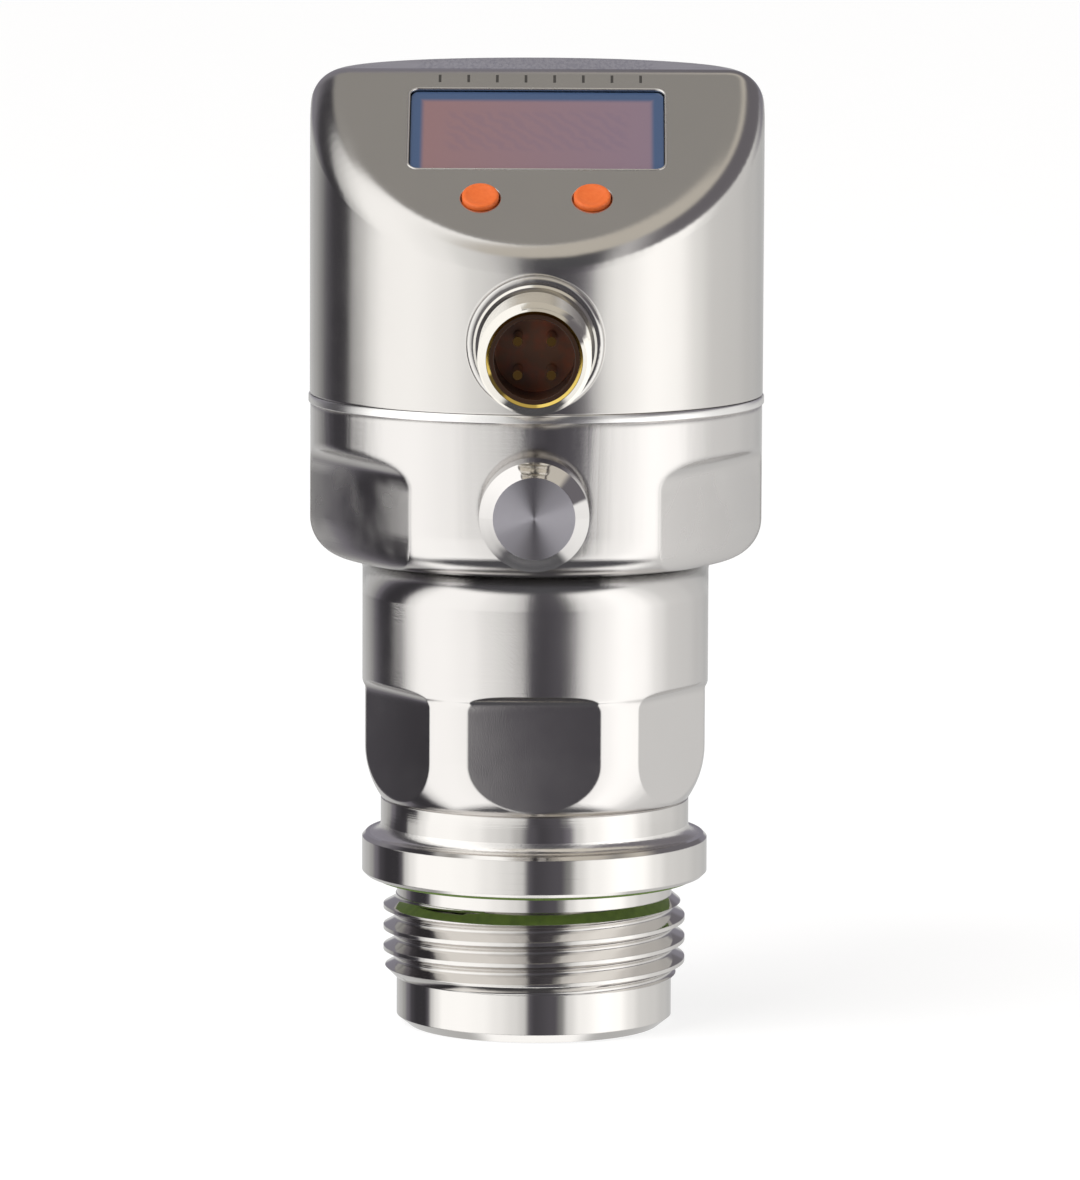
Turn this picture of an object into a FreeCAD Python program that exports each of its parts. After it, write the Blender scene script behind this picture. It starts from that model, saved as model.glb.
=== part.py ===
import FreeCAD, Part
import math
import os
import re
import Sketcher

# Pressure transmitter: a turned process half with a G 1 male thread, and a head with
# display, two buttons and an M12 connector that turns on it.
# Origin: middle of the flush lower end, +Z up along the axis, the display looks to -Y.
# All sizes are millimetres and degrees.

SIZES = {
    # Process connection
    "pilot_diameter": 30.3,
    "pilot_chamfer": 1.3,
    "pilot_length": 5.4,
    "thread_diameter": 33.25,
    "thread_chamfer": 1.2,
    "thread_length": 8.0,
    "undercut_diameter": 30.6,
    "undercut_width": 3.3,
    "flange_land": 1.3,
    "flange_thickness": 4.5,
    "flange_chamfer": 0.4,
    "collar_height": 4.1,
    "collar_fillet": 1.2,
    "seal_groove_width": 2.4,
    "seal_groove_depth": 1.2,
    "seal_stand_proud": 0.4,
    # Measuring cell and what holds it
    "cell_diameter": 22.4,
    "cell_thickness": 6.0,
    "cell_clearance": 0.1,
    "lip_bore": 19.0,
    "lip_thickness": 0.8,
    "cell_seal_thickness": 1.0,
    "thrust_ring_bore": 16.0,
    "thrust_ring_thickness": 1.5,
    "clamp_ring_bore": 14.0,
    "clamp_ring_thickness": 4.0,
    "spanner_slot_width": 2.5,
    "spanner_slot_depth": 1.4,
    "cell_board_diameter": 19.0,
    "cell_board_thickness": 1.2,
    "lead_diameter": 3.0,
    # Sensor body: neck and cup. Steps and walls are measured from the neck and the cup.
    "neck_diameter": 38.0,
    "neck_wall": 4.0,
    "collar_step": 2.05,
    "waist_step": 0.3,
    "waist_height": 12.0,
    "waist_blend": 1.0,
    "neck_run_in": 5.7,
    "neck_length": 26.6,
    "neck_fillet": 1.4,
    "underside_land": 0.1,
    "cup_height": 17.0,
    "cup_wall": 3.55,
    "cup_floor": 2.0,
    "cup_corner_radius": 4.25,
    "neck_flat_depth": 1.75,
    "neck_flat_height": 11.5,
    "neck_flat_run_out": 0.1,
    "neck_flat_count": 6,
    "cup_flat_depth": 2.75,
    "cup_flat_height": 9.4,
    "cup_flat_run_out": 0.45,
    "cup_flat_toe": 1.2,
    "cup_flat_angle": 60.0,
    # Turning joint in the seam
    "slide_ring_height": 0.9,
    "slide_ring_radius": 0.6,
    "slide_gap": 0.05,
    "running_clearance": 0.05,
    "spigot_depth": 5.2,
    "head_ring_wall": 2.65,
    "head_ring_height": 2.4,
    "head_ring_notch_clearance": 0.1,
    "swivel_seal_cord": 1.0,
    "swivel_seal_depth": 1.95,
    "snap_ring_inside": 0.7,
    "snap_ring_outside": 0.7,
    "snap_ring_thickness": 1.0,
    "snap_ring_height": 0.9,
    "snap_ring_play": 0.1,
    "snap_ring_gap": 10.0,
    "stop_pin_diameter": 1.6,
    "stop_pin_inside": 1.4,
    "stop_pin_pressed": 1.2,
    "stop_pin_drop": 1.2,
    "stop_lug_width": 3.6,
    "stop_lug_depth": 1.6,
    "stop_lug_inset": 0.2,
    "stop_lug_height": 2.0,
    # Vent in the cup
    "vent_height": 8.0,
    "vent_seat_depth": 1.05,
    "vent_stem_diameter": 7.8,
    "vent_stem_inside": 0.1,
    "vent_flange_diameter": 11.2,
    "vent_flange_thickness": 4.5,
    "vent_spigot_diameter": 9.2,
    "vent_spigot_length": 3.6,
    "vent_bore": 3.2,
    "membrane_diameter": 6.0,
    "membrane_thickness": 0.4,
    "vent_seal_thickness": 0.6,
    "vent_seal_inset": 0.15,
    "vent_cap_diameter": 11.7,
    "vent_cap_length": 6.2,
    "vent_cap_chamfer": 1.5,
    "vent_cap_skirt": 3.3,
    # Upper housing
    "head_proud": 0.05,
    "head_height": 35.35,
    "head_wall": 1.5,
    "head_edge_radius": 4.0,
    "face_slope": 36.4,
    "window_width": 27.6,
    "window_length": 13.2,
    "window_start": 3.35,
    "window_corner_radius": 1.0,
    "button_pitch": 12.0,
    "button_place": 21.45,
    "button_hole": 4.3,
    # Display stack, in layers below the inclined face
    "gasket_thickness": 0.4,
    "gasket_width": 1.5,
    "glass_thickness": 1.2,
    "pane_recess": 0.35,
    "pane_clearance": 0.12,
    "carrier_width": 32.0,
    "carrier_length": 24.0,
    "carrier_corner": 4.5,
    "carrier_start": 1.5,
    "carrier_thickness": 5.5,
    "module_width": 24.0,
    "module_length": 10.0,
    "module_thickness": 5.3,
    "module_clearance": 0.1,
    "display_board_thickness": 1.2,
    "button_well": 6.2,
    "screw_margin": 2.0,
    # Buttons
    "button_diameter": 4.0,
    "button_proud": 0.5,
    "button_collar": 5.2,
    "button_collar_thickness": 0.6,
    "button_stem": 2.0,
    "button_stem_end": 5.5,
    "button_collar_gap": 0.1,
    "button_seal_drop": 0.2,
    "button_seal_thickness": 0.8,
    "switch_size": 3.6,
    "switch_height": 1.6,
    "switch_plunger_diameter": 1.8,
    "switch_plunger_height": 0.65,
    # Boards behind the display
    "main_board_width": 34.0,
    "main_board_height": 21.0,
    "main_board_thickness": 1.4,
    "main_board_place": 8.0,
    "plate_thickness": 1.7,
    "plate_clearance": 0.8,
    "plate_front": 8.0,
    "post_width": 4.0,
    "post_depth": 2.5,
    "post_margin": 3.0,
    "post_short": 1.0,
    "post_screw_drop": 3.0,
    "post_screw_grip": 2.0,
    "component_height": 2.2,
    "supply_width": 10.0,
    "supply_length": 8.0,
    "processor_size": 7.0,
    "component_gap": 3.0,
    "screw_diameter": 1.6,
    "screw_head_diameter": 3.0,
    "screw_head_height": 1.2,
    "screw_length": 3.0,
    "ribbon_width": 10.0,
    "ribbon_thickness": 0.4,
    "ribbon_start": 5.0,
    "ribbon_drop": 2.0,
    "lead_clearance": 0.1,
    "lead_entry": 1.2,
    "socket_diameter": 8.0,
    "socket_height": 5.0,
    # M12 connector
    "connector_height": 7.65,
    "boss_wall": 0.98,
    "boss_stand": 1.4,
    "boss_depth": 4.0,
    "boss_notch_depth": 1.5,
    "boss_edge_radius": 0.6,
    "shell_neck_diameter": 12.8,
    "shell_neck_clearance": 0.02,
    "shell_shoulder_step": 0.2,
    "shell_shoulder_length": 2.2,
    "m12_thread_diameter": 12.0,
    "m12_length": 16.3,
    "m12_thread_chamfer": 0.6,
    "shell_depth": 5.2,
    "socket_bore": 9.5,
    "socket_mouth_bevel": 0.3,
    "insert_rim_step": 0.35,
    "insert_cavity_bore": 8.5,
    "insert_cavity_depth": 9.0,
    "insert_tail": 2.5,
    "insert_tail_diameter": 8.0,
    "insert_seal_width": 1.2,
    "insert_seal_place": 2.2,
    "pin_circle": 5.0,
    "pin_diameter": 1.0,
    "pin_set_back": 1.6,
    "pin_tail": 2.5,
    "pin_count": 4,
}

# Levels and radii that follow from the sizes above
LEVELS = {
    "pilot_r": "pilot_diameter / 2",
    "thread_r": "thread_diameter / 2",
    "undercut_r": "undercut_diameter / 2",
    "neck_r": "neck_diameter / 2",
    "collar_r": "neck_r - collar_step",
    "thread_top": "pilot_length + thread_length",
    "reach": "pilot_length + thread_length + undercut_width",
    "joint_level": "reach + flange_thickness + collar_height",
    "groove_r": "undercut_r + seal_groove_width",
    "flange_r": "groove_r + flange_land",
    "cell_bore_r": "cell_diameter / 2 + cell_clearance",
    "cell_level": "lip_thickness + cell_seal_thickness",
    "thrust_level": "cell_level + cell_thickness",
    "clamp_level": "thrust_level + thrust_ring_thickness",
    "cell_board_level": "clamp_level + clamp_ring_thickness",
    "cell_board_top": "cell_board_level + cell_board_thickness",
    "underside": "joint_level + neck_length",
    "seam_low": "underside + cup_height",
    "seam_high": "seam_low + slide_ring_height",
    "head_bottom": "seam_high + slide_gap",
    "head_top": "head_bottom + head_height",
    "neck_bore_r": "neck_r - neck_wall",
    "waist_r": "neck_r - waist_step",
    "waist_level": "joint_level + waist_height",
    "run_in_rise": "neck_run_in ^ 2 / (waist_r - collar_r)",
    "run_in_r": "(run_in_rise + waist_r - collar_r) / 2",
    "waist_blend_r": "(waist_blend ^ 2 / waist_step + waist_step) / 4",
    "underside_in": "neck_r + neck_fillet",
    "underside_out": "underside_in + underside_land",
    "cup_r": "underside_out + cup_corner_radius",
    "cup_bore_r": "cup_r - cup_wall",
    "cup_toe_r": "(cup_corner_radius ^ 2 + cup_flat_toe ^ 2) / (2 * cup_flat_toe)",
    "head_r": "cup_r + head_proud",
    "spigot_r": "cup_bore_r - running_clearance",
    "spigot_low": "head_bottom - spigot_depth",
    "head_ring_bore_r": "spigot_r - head_ring_wall",
    "snap_low": "spigot_low + snap_ring_height",
    "snap_high": "snap_low + snap_ring_thickness",
    "snap_inner_r": "cup_bore_r - snap_ring_inside",
    "snap_outer_r": "cup_bore_r + snap_ring_outside",
    "seal_level": "head_bottom - swivel_seal_depth",
    "seal_groove_r": "spigot_r - swivel_seal_cord",
    "stop_level": "spigot_low - stop_pin_drop",
    "head_bore_r": "head_r - head_wall",
    "ring_top": "head_bottom + head_ring_height",
    "plate_top": "ring_top + plate_thickness",
    "vent_level": "underside + vent_height",
    "vent_seat": "cup_r - vent_seat_depth",
    "vent_stem_end": "cup_bore_r + vent_stem_inside",
    "vent_flange_end": "vent_seat + vent_flange_thickness",
    "vent_spigot_end": "vent_flange_end + vent_spigot_length",
    "vent_cap_back": "vent_flange_end + vent_seal_thickness",
    "vent_cap_end": "vent_cap_back + vent_cap_length",
    "glass_depth": "head_wall + gasket_thickness",
    "carrier_depth": "glass_depth + glass_thickness",
    "board_depth": "carrier_depth + carrier_thickness",
    "board_back": "board_depth + display_board_thickness",
    "collar_depth": "head_wall + button_collar_gap",
    "module_start": "window_start + (window_length - module_length) / 2",
    "post_pitch": "main_board_width - 2 * post_margin",
    "post_height": "main_board_height - post_short",
    "head_face": "-main_board_place - main_board_thickness",
    "connector_level": "head_bottom + connector_height",
    "shell_neck_r": "shell_neck_diameter / 2",
    "shell_shoulder_r": "shell_neck_r + shell_shoulder_step",
    "boss_hole_r": "shell_neck_r + shell_neck_clearance",
    "boss_r": "boss_hole_r + boss_wall",
    "boss_front": "head_r + boss_stand",
    "boss_back": "boss_front - boss_depth",
    "shell_back": "boss_front - shell_depth",
    "neck_face": "boss_front + shell_shoulder_length",
    "m12_end": "boss_front + m12_length",
    "m12_thread_r": "m12_thread_diameter / 2",
    "socket_bore_r": "socket_bore / 2",
    "insert_face": "m12_end - insert_cavity_depth",
    "insert_back": "shell_back - insert_tail",
    "insert_groove_r": "socket_bore_r - insert_seal_width",
    "insert_groove_low": "boss_front + insert_seal_place",
    "insert_groove_high": "insert_groove_low + insert_seal_width",
}

doc = FreeCAD.newDocument("pressure_transmitter")

sizes = doc.addObject("Spreadsheet::Sheet", "Sizes")
for row, (name, number) in enumerate(SIZES.items(), start=1):
    sizes.set(f"A{row}", name)
    sizes.set(f"B{row}", str(number))
    sizes.setAlias(f"B{row}", name)

levels = doc.addObject("Spreadsheet::Sheet", "Levels")


def bound(text):
    """The expression with each size and level named together with its sheet."""

    def owner(match):
        name = match.group(0)
        if name in SIZES:
            return "Sizes." + name
        if name in LEVELS:
            return "Levels." + name
        return name

    return re.sub(r"[a-z][a-z0-9_]*", owner, text)


for row, (name, text) in enumerate(LEVELS.items(), start=1):
    levels.set(f"A{row}", name)
    levels.setAlias(f"B{row}", name)
    levels.set(f"B{row}", "=" + bound(text))
doc.recompute()

parts = []


def new_body(label):
    body = doc.addObject("PartDesign::Body", label)
    body.Label = label
    parts.append(body)
    return body


def origin_feature(body, role):
    return next(item for item in body.Origin.OriginFeatures if item.Role == role)


def new_sketch(body, name, role, along="0", up="0", out="0", turn=None):
    """A sketch on one of the body's own planes, moved in that plane and off it."""
    sketch = body.newObject("Sketcher::SketchObject", name)
    sketch.AttachmentSupport = [(origin_feature(body, role), "")]
    sketch.MapMode = "FlatFace"
    if turn:
        axis, angle = turn
        sketch.AttachmentOffset = FreeCAD.Placement(FreeCAD.Vector(), FreeCAD.Rotation(axis, 10))
        sketch.setExpression("AttachmentOffset.Rotation.Angle", bound(angle))
    for letter, text in (("x", along), ("y", up), ("z", out)):
        if text != "0":
            sketch.setExpression("AttachmentOffset.Base." + letter, bound(text))
    return sketch


def face_sketch(body, name, depth="0"):
    """A sketch parallel to the inclined face, from the crease down, at a depth below it."""
    slope = "face_slope * 1deg"
    return new_sketch(
        body,
        name,
        "XY_Plane",
        up=f"({depth}) * sin({slope})",
        out=f"head_top - ({depth}) * cos({slope})",
        turn=(FreeCAD.Vector(1, 0, 0), "face_slope"),
    )


def hold(sketch, kind, first, where, text, guess):
    index = sketch.addConstraint(Sketcher.Constraint(kind, -1, 1, first, where, guess))
    sketch.setExpression(f"Constraints[{index}]", bound(text))


def place_point(sketch, geometry, where, across, upward, guess):
    for kind, axis, text, value in (
        ("DistanceX", -2, across, guess.x),
        ("DistanceY", -1, upward, guess.y),
    ):
        if text == "0":
            sketch.addConstraint(Sketcher.Constraint("PointOnObject", geometry, where, axis))
        else:
            hold(sketch, kind, geometry, where, text, value)


# Corners start on a circle of this radius, and the sketch then moves them into place
GUESS_RADIUS = 40


def edge_guess(start, end, bulge, hollow):
    """A first place for an edge: straight, an arc outwards or an arc inwards."""
    if not bulge and not hollow:
        return Part.LineSegment(start, end)
    upward = FreeCAD.Vector(0, 0, 1)
    middle = start + end if hollow else FreeCAD.Vector()
    angles = []
    for spot in (start, end):
        spoke = -spot if hollow else spot
        angles.append(math.atan2(spoke.y, spoke.x))
    return Part.ArcOfCircle(Part.Circle(middle, upward, start.Length), *angles)


def outline(sketch, corners, bulges=None, hollows=None):
    """A closed outline, each corner held from the sketch's origin.

    The corners run counterclockwise from the lower left one. The edge after a corner
    is straight, or an arc outwards or inwards with the radius given under its number.
    """
    bulges = bulges or {}
    hollows = hollows or {}
    first = sketch.GeometryCount
    count = len(corners)
    guess = []
    for index in range(count):
        angle = 2 * math.pi * index / count - 3 * math.pi / 4
        spoke = FreeCAD.Vector(math.cos(angle), math.sin(angle), 0)
        guess.append(spoke * GUESS_RADIUS)
    for index in range(count):
        following = guess[(index + 1) % count]
        edge = edge_guess(guess[index], following, index in bulges, index in hollows)
        sketch.addGeometry(edge, False)
    starts = [2 if index in hollows else 1 for index in range(count)]
    for index in range(count):
        following = (index + 1) % count
        sketch.addConstraint(
            Sketcher.Constraint(
                "Coincident",
                first + index,
                3 - starts[index],
                first + following,
                starts[following],
            )
        )
    for index, (across, upward) in enumerate(corners):
        place_point(sketch, first + index, starts[index], across, upward, guess[index])
    for index, radius in {**bulges, **hollows}.items():
        held = sketch.addConstraint(
            Sketcher.Constraint("Radius", first + index, GUESS_RADIUS)
        )
        sketch.setExpression(f"Constraints[{held}]", bound(radius))


def box_outline(sketch, left, bottom, right, top):
    outline(sketch, [(left, bottom), (right, bottom), (right, top), (left, top)])


def rounded_box(sketch, left, bottom, right, top, radius):
    """A box outline with its four corners rounded."""
    outline(
        sketch,
        [
            (f"{left} + {radius}", bottom),
            (f"{right} - {radius}", bottom),
            (right, f"{bottom} + {radius}"),
            (right, f"{top} - {radius}"),
            (f"{right} - {radius}", top),
            (f"{left} + {radius}", top),
            (left, f"{top} - {radius}"),
            (left, f"{bottom} + {radius}"),
        ],
        bulges={1: radius, 3: radius, 5: radius, 7: radius},
    )


def circle(sketch, radius, across="0", upward="0"):
    seat = FreeCAD.Vector(5, 5, 0)
    index = sketch.addGeometry(Part.Circle(seat, FreeCAD.Vector(0, 0, 1), 2), False)
    size = sketch.addConstraint(Sketcher.Constraint("Radius", index, 2))
    sketch.setExpression(f"Constraints[{size}]", bound(radius))
    place_point(sketch, index, 3, across, upward, seat)


def revolve(body, name, sketch, axis="V_Axis"):
    feature = body.newObject("PartDesign::Revolution", name)
    feature.Profile = (sketch, [""])
    feature.ReferenceAxis = (sketch, [axis])
    feature.Angle = 360
    sketch.Visibility = False
    return feature


def pad(body, name, sketch, length, back=False, both=False):
    feature = body.newObject("PartDesign::Pad", name)
    feature.Profile = (sketch, [""])
    feature.setExpression("Length", bound(length))
    feature.Reversed = back
    feature.Midplane = both
    return feature


def pocket(body, name, sketch, length, back=False, both=False):
    feature = body.newObject("PartDesign::Pocket", name)
    feature.Profile = (sketch, [""])
    feature.setExpression("Length", bound(length))
    feature.Reversed = back
    feature.Midplane = both
    return feature


def polar(body, name, feature, angle, count):
    pattern = body.newObject("PartDesign::PolarPattern", name)
    pattern.Originals = [feature]
    pattern.Axis = (origin_feature(body, "Z_Axis"), [""])
    pattern.Angle = angle
    pattern.setExpression("Occurrences", bound(count))
    body.Tip = pattern
    return pattern


def edges_where(feature, test):
    doc.recompute()
    names = []
    for index, edge in enumerate(feature.Shape.Edges, start=1):
        if test(edge):
            names.append(f"Edge{index}")
    return names


def ring_edge(radius, level):
    """Picks the full circle about the axis with this radius, at this height."""

    def test(edge):
        curve = edge.Curve
        if not isinstance(curve, Part.Circle):
            return False
        here = abs(curve.Center.x) < 0.01 and abs(curve.Center.y) < 0.01
        return here and abs(curve.Radius - radius) < 0.01 and abs(curve.Center.z - level) < 0.01

    return test


def fillet(body, name, feature, names, radius):
    blend = body.newObject("PartDesign::Fillet", name)
    blend.Base = (feature, names)
    blend.setExpression("Radius", bound(radius))
    return blend


def size(name):
    return sizes.get(name)


def level(name):
    value = levels.get(name)
    return getattr(value, "Value", value)


# Process connection: flush lower end, pilot, threaded length, undercut, flange with the
# groove for its seal, and the collar that is welded to the neck. The bore holds the cell.
connection = new_body("process_connection")
section = new_sketch(connection, "connection_section", "XZ_Plane")
outline(
    section,
    [
        ("lip_bore / 2", "0"),
        ("pilot_r - pilot_chamfer", "0"),
        ("pilot_r", "pilot_chamfer"),
        ("pilot_r", "pilot_length"),
        ("thread_r", "pilot_length + thread_chamfer"),
        ("thread_r", "thread_top - thread_chamfer"),
        ("undercut_r", "thread_top"),
        ("undercut_r", "reach + seal_groove_depth"),
        ("groove_r", "reach + seal_groove_depth"),
        ("groove_r", "reach"),
        ("flange_r - flange_chamfer", "reach"),
        ("flange_r", "reach + flange_chamfer"),
        ("flange_r", "reach + flange_thickness - flange_chamfer"),
        ("flange_r - flange_chamfer", "reach + flange_thickness"),
        ("collar_r + collar_fillet", "reach + flange_thickness"),
        ("collar_r", "reach + flange_thickness + collar_fillet"),
        ("collar_r", "joint_level"),
        ("cell_bore_r", "joint_level"),
        ("cell_bore_r", "lip_thickness"),
        ("lip_bore / 2", "lip_thickness"),
    ],
    hollows={14: "collar_fillet"},
)
revolve(connection, "connection_turned", section)


def turned_ring(label, inner, outer, low, high):
    """A plain ring about the axis."""
    body = new_body(label)
    ring = new_sketch(body, label + "_section", "XZ_Plane")
    box_outline(ring, inner, low, outer, high)
    revolve(body, label + "_turned", ring)
    return body


def turned_disc(label, radius, low, thickness):
    """A plain round plate about the axis."""
    body = new_body(label)
    rim = new_sketch(body, label + "_rim", "XY_Plane", out=low)
    circle(rim, radius)
    pad(body, label + "_plate", rim, thickness)
    return body


# Ring seal in the groove under the flange, it stands a little below the flange
turned_ring(
    "flange_seal",
    "undercut_r + running_clearance",
    "groove_r - running_clearance",
    "reach - seal_stand_proud",
    "reach + seal_groove_depth",
)

# Ceramic cell, pressed on its seal and the lip by a thrust ring and a screwed clamp ring
turned_disc("measuring_cell", "cell_diameter / 2", "cell_level", "cell_thickness")
turned_ring("cell_seal", "lip_bore / 2", "cell_bore_r", "lip_thickness", "cell_level")
turned_ring(
    "cell_thrust_ring",
    "thrust_ring_bore / 2",
    "cell_bore_r - running_clearance",
    "thrust_level",
    "clamp_level",
)
clamp = turned_ring(
    "cell_clamp_ring",
    "clamp_ring_bore / 2",
    "cell_bore_r",
    "clamp_level",
    "cell_board_level",
)
slot = new_sketch(clamp, "spanner_slot_section", "XZ_Plane")
box_outline(
    slot,
    "-spanner_slot_width / 2",
    "cell_board_level - spanner_slot_depth",
    "spanner_slot_width / 2",
    "cell_board_level",
)
slots = pocket(clamp, "spanner_slots", slot, "cell_diameter * 2", both=True)
polar(clamp, "spanner_slot_pattern", slots, 180, "2")

# Round board on the clamp ring, and the lead that runs up the axis to the head
turned_disc("cell_board", "cell_board_diameter / 2", "cell_board_level", "cell_board_thickness")
turned_disc(
    "signal_lead",
    "lead_diameter / 2",
    "cell_board_top",
    "plate_top + lead_entry - cell_board_top",
)

# Sensor body: neck and cup turned in one piece, with soft blends between their diameters
sensor = new_body("sensor_body")
section = new_sketch(sensor, "sensor_section", "XZ_Plane")
outline(
    section,
    [
        ("neck_bore_r", "joint_level"),
        ("collar_r", "joint_level"),
        ("waist_r", "joint_level + neck_run_in"),
        ("waist_r", "waist_level"),
        ("(waist_r + neck_r) / 2", "waist_level + waist_blend / 2"),
        ("neck_r", "waist_level + waist_blend"),
        ("neck_r", "underside - neck_fillet"),
        ("underside_in", "underside"),
        ("underside_out", "underside"),
        ("cup_r", "underside + cup_corner_radius"),
        ("cup_r", "seam_low"),
        ("cup_bore_r", "seam_low"),
        ("cup_bore_r", "snap_high"),
        ("snap_outer_r", "snap_high"),
        ("snap_outer_r", "snap_low"),
        ("cup_bore_r", "snap_low"),
        ("cup_bore_r", "underside + cup_floor"),
        ("neck_bore_r", "underside + cup_floor"),
    ],
    bulges={1: "run_in_r", 4: "waist_blend_r", 8: "cup_corner_radius"},
    hollows={3: "waist_blend_r", 6: "neck_fillet"},
)
revolve(sensor, "sensor_turned", section)


def flat_cut(name, radius, depth, run_out, low, high, toe=None, turn=None):
    """Cuts a spanner flat, which the round cutter leaves in a cove at its top.

    The flat's lower end is open, or falls back in an arc given as (inset, rise, radius).
    """
    side = new_sketch(sensor, name + "_side", "YZ_Plane", turn=turn)
    near = f"-({radius} - {depth})"
    far = f"-({radius} + {run_out})"
    corners = [(far, low)]
    hollows = {}
    if toe:
        inset, rise, toe_radius = toe
        corners.append((f"{near} + {inset}", low))
        low = f"{low} + {rise}"
        hollows[1] = toe_radius
    corners.append((near, low))
    cove = {len(corners): f"{depth} + {run_out}"}
    corners.append((near, high))
    corners.append((far, f"{high} + {depth} + {run_out}"))
    outline(side, corners, bulges=cove, hollows=hollows)
    return pocket(sensor, name, side, f"2 * {radius}", both=True)


# Six spanner flats on the neck and two pairs on the cup
upright = FreeCAD.Vector(0, 1, 0)
neck_flat = flat_cut(
    "neck_flat",
    "neck_r",
    "neck_flat_depth",
    "neck_flat_run_out",
    "joint_level",
    "joint_level + neck_flat_height",
)
polar(sensor, "neck_flat_pattern", neck_flat, 360, "neck_flat_count")
for name, angle in (("cup_flat_left", "-cup_flat_angle"), ("cup_flat_right", "cup_flat_angle")):
    cup_flat = flat_cut(
        name,
        "cup_r",
        "cup_flat_depth",
        "cup_flat_run_out",
        "underside",
        "underside + cup_flat_height",
        toe=("cup_flat_toe", "cup_corner_radius", "cup_toe_r"),
        turn=(upright, angle),
    )
    polar(sensor, name + "_pattern", cup_flat, 180, "2")

# Seat and hole of the vent, and the hole of the stop pin
seat = new_sketch(sensor, "vent_seat_rim", "XZ_Plane", up="vent_level", out="vent_seat")
circle(seat, "vent_flange_diameter / 2")
pocket(sensor, "vent_seat_face", seat, "vent_seat_depth", back=True)
hole = new_sketch(sensor, "vent_hole_rim", "XZ_Plane", up="vent_level", out="cup_r")
circle(hole, "vent_stem_diameter / 2")
pocket(sensor, "vent_hole", hole, "cup_wall * 2")
hole = new_sketch(
    sensor, "stop_hole_rim", "XZ_Plane", up="stop_level", out="-cup_bore_r + stop_pin_inside"
)
circle(hole, "stop_pin_diameter / 2")
pocket(sensor, "stop_hole", hole, "stop_pin_inside + stop_pin_pressed")

# Slide ring in the seam, on the rim of the cup, its outer edge rounded
slide = new_body("slide_ring")
section = new_sketch(slide, "slide_ring_section", "XZ_Plane")
outline(
    section,
    [
        ("cup_bore_r", "seam_low"),
        ("cup_r", "seam_low"),
        ("cup_r", "seam_high"),
        ("cup_bore_r", "seam_high"),
    ],
    bulges={1: "slide_ring_radius"},
)
revolve(slide, "slide_ring_turned", section)

# Split snap ring, held in the cup, that runs in the groove of the head ring
snap = turned_ring("snap_ring", "snap_inner_r", "snap_outer_r", "snap_low", "snap_high")
gap = new_sketch(snap, "snap_gap_section", "XZ_Plane")
box_outline(gap, "-snap_ring_gap / 2", "snap_low", "snap_ring_gap / 2", "snap_high")
pocket(snap, "snap_gap", gap, "snap_outer_r")

# Stop pin, pressed into the wall of the cup at the back
pin = new_body("stop_pin")
rim = new_sketch(
    pin, "stop_pin_rim", "XZ_Plane", up="stop_level", out="-cup_bore_r + stop_pin_inside"
)
circle(rim, "stop_pin_diameter / 2")
pad(pin, "stop_pin_length", rim, "stop_pin_inside + stop_pin_pressed", back=True)


def side_turned(label, height, corners):
    """A piece turned about a level axis: each corner is a distance forward and a radius."""
    body = new_body(label)
    section = new_sketch(body, label + "_section", "YZ_Plane", up=height)
    outline(section, [(f"-({forward})", radius) for forward, radius in corners])
    revolve(body, label + "_turned", section, "H_Axis")
    return body


# Vent: sleeve pressed into the cup, membrane over its bore, seal and screwed cap
side_turned(
    "vent_sleeve",
    "vent_level",
    [
        ("vent_stem_end", "vent_bore / 2"),
        ("vent_stem_end", "vent_stem_diameter / 2"),
        ("vent_seat", "vent_stem_diameter / 2"),
        ("vent_seat", "vent_flange_diameter / 2"),
        ("vent_flange_end", "vent_flange_diameter / 2"),
        ("vent_flange_end", "vent_spigot_diameter / 2"),
        ("vent_spigot_end", "vent_spigot_diameter / 2"),
        ("vent_spigot_end", "membrane_diameter / 2"),
        ("vent_spigot_end - membrane_thickness", "membrane_diameter / 2"),
        ("vent_spigot_end - membrane_thickness", "vent_bore / 2"),
    ],
)
membrane = new_body("vent_membrane")
rim = new_sketch(
    membrane,
    "membrane_rim",
    "XZ_Plane",
    up="vent_level",
    out="vent_spigot_end - membrane_thickness",
)
circle(rim, "membrane_diameter / 2")
pad(membrane, "membrane_disc", rim, "membrane_thickness")
side_turned(
    "vent_seal",
    "vent_level",
    [
        ("vent_flange_end", "vent_spigot_diameter / 2"),
        ("vent_flange_end", "vent_flange_diameter / 2 - vent_seal_inset"),
        ("vent_cap_back", "vent_flange_diameter / 2 - vent_seal_inset"),
        ("vent_cap_back", "vent_spigot_diameter / 2"),
    ],
)
side_turned(
    "vent_cap",
    "vent_level",
    [
        ("vent_cap_back", "vent_spigot_diameter / 2"),
        ("vent_cap_back", "vent_cap_diameter / 2"),
        ("vent_cap_end - vent_cap_chamfer", "vent_cap_diameter / 2"),
        ("vent_cap_end", "vent_cap_diameter / 2 - vent_cap_chamfer"),
        ("vent_cap_end", "0"),
        ("vent_cap_back + vent_cap_skirt", "0"),
        ("vent_cap_back + vent_cap_skirt", "vent_spigot_diameter / 2"),
    ],
)

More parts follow.
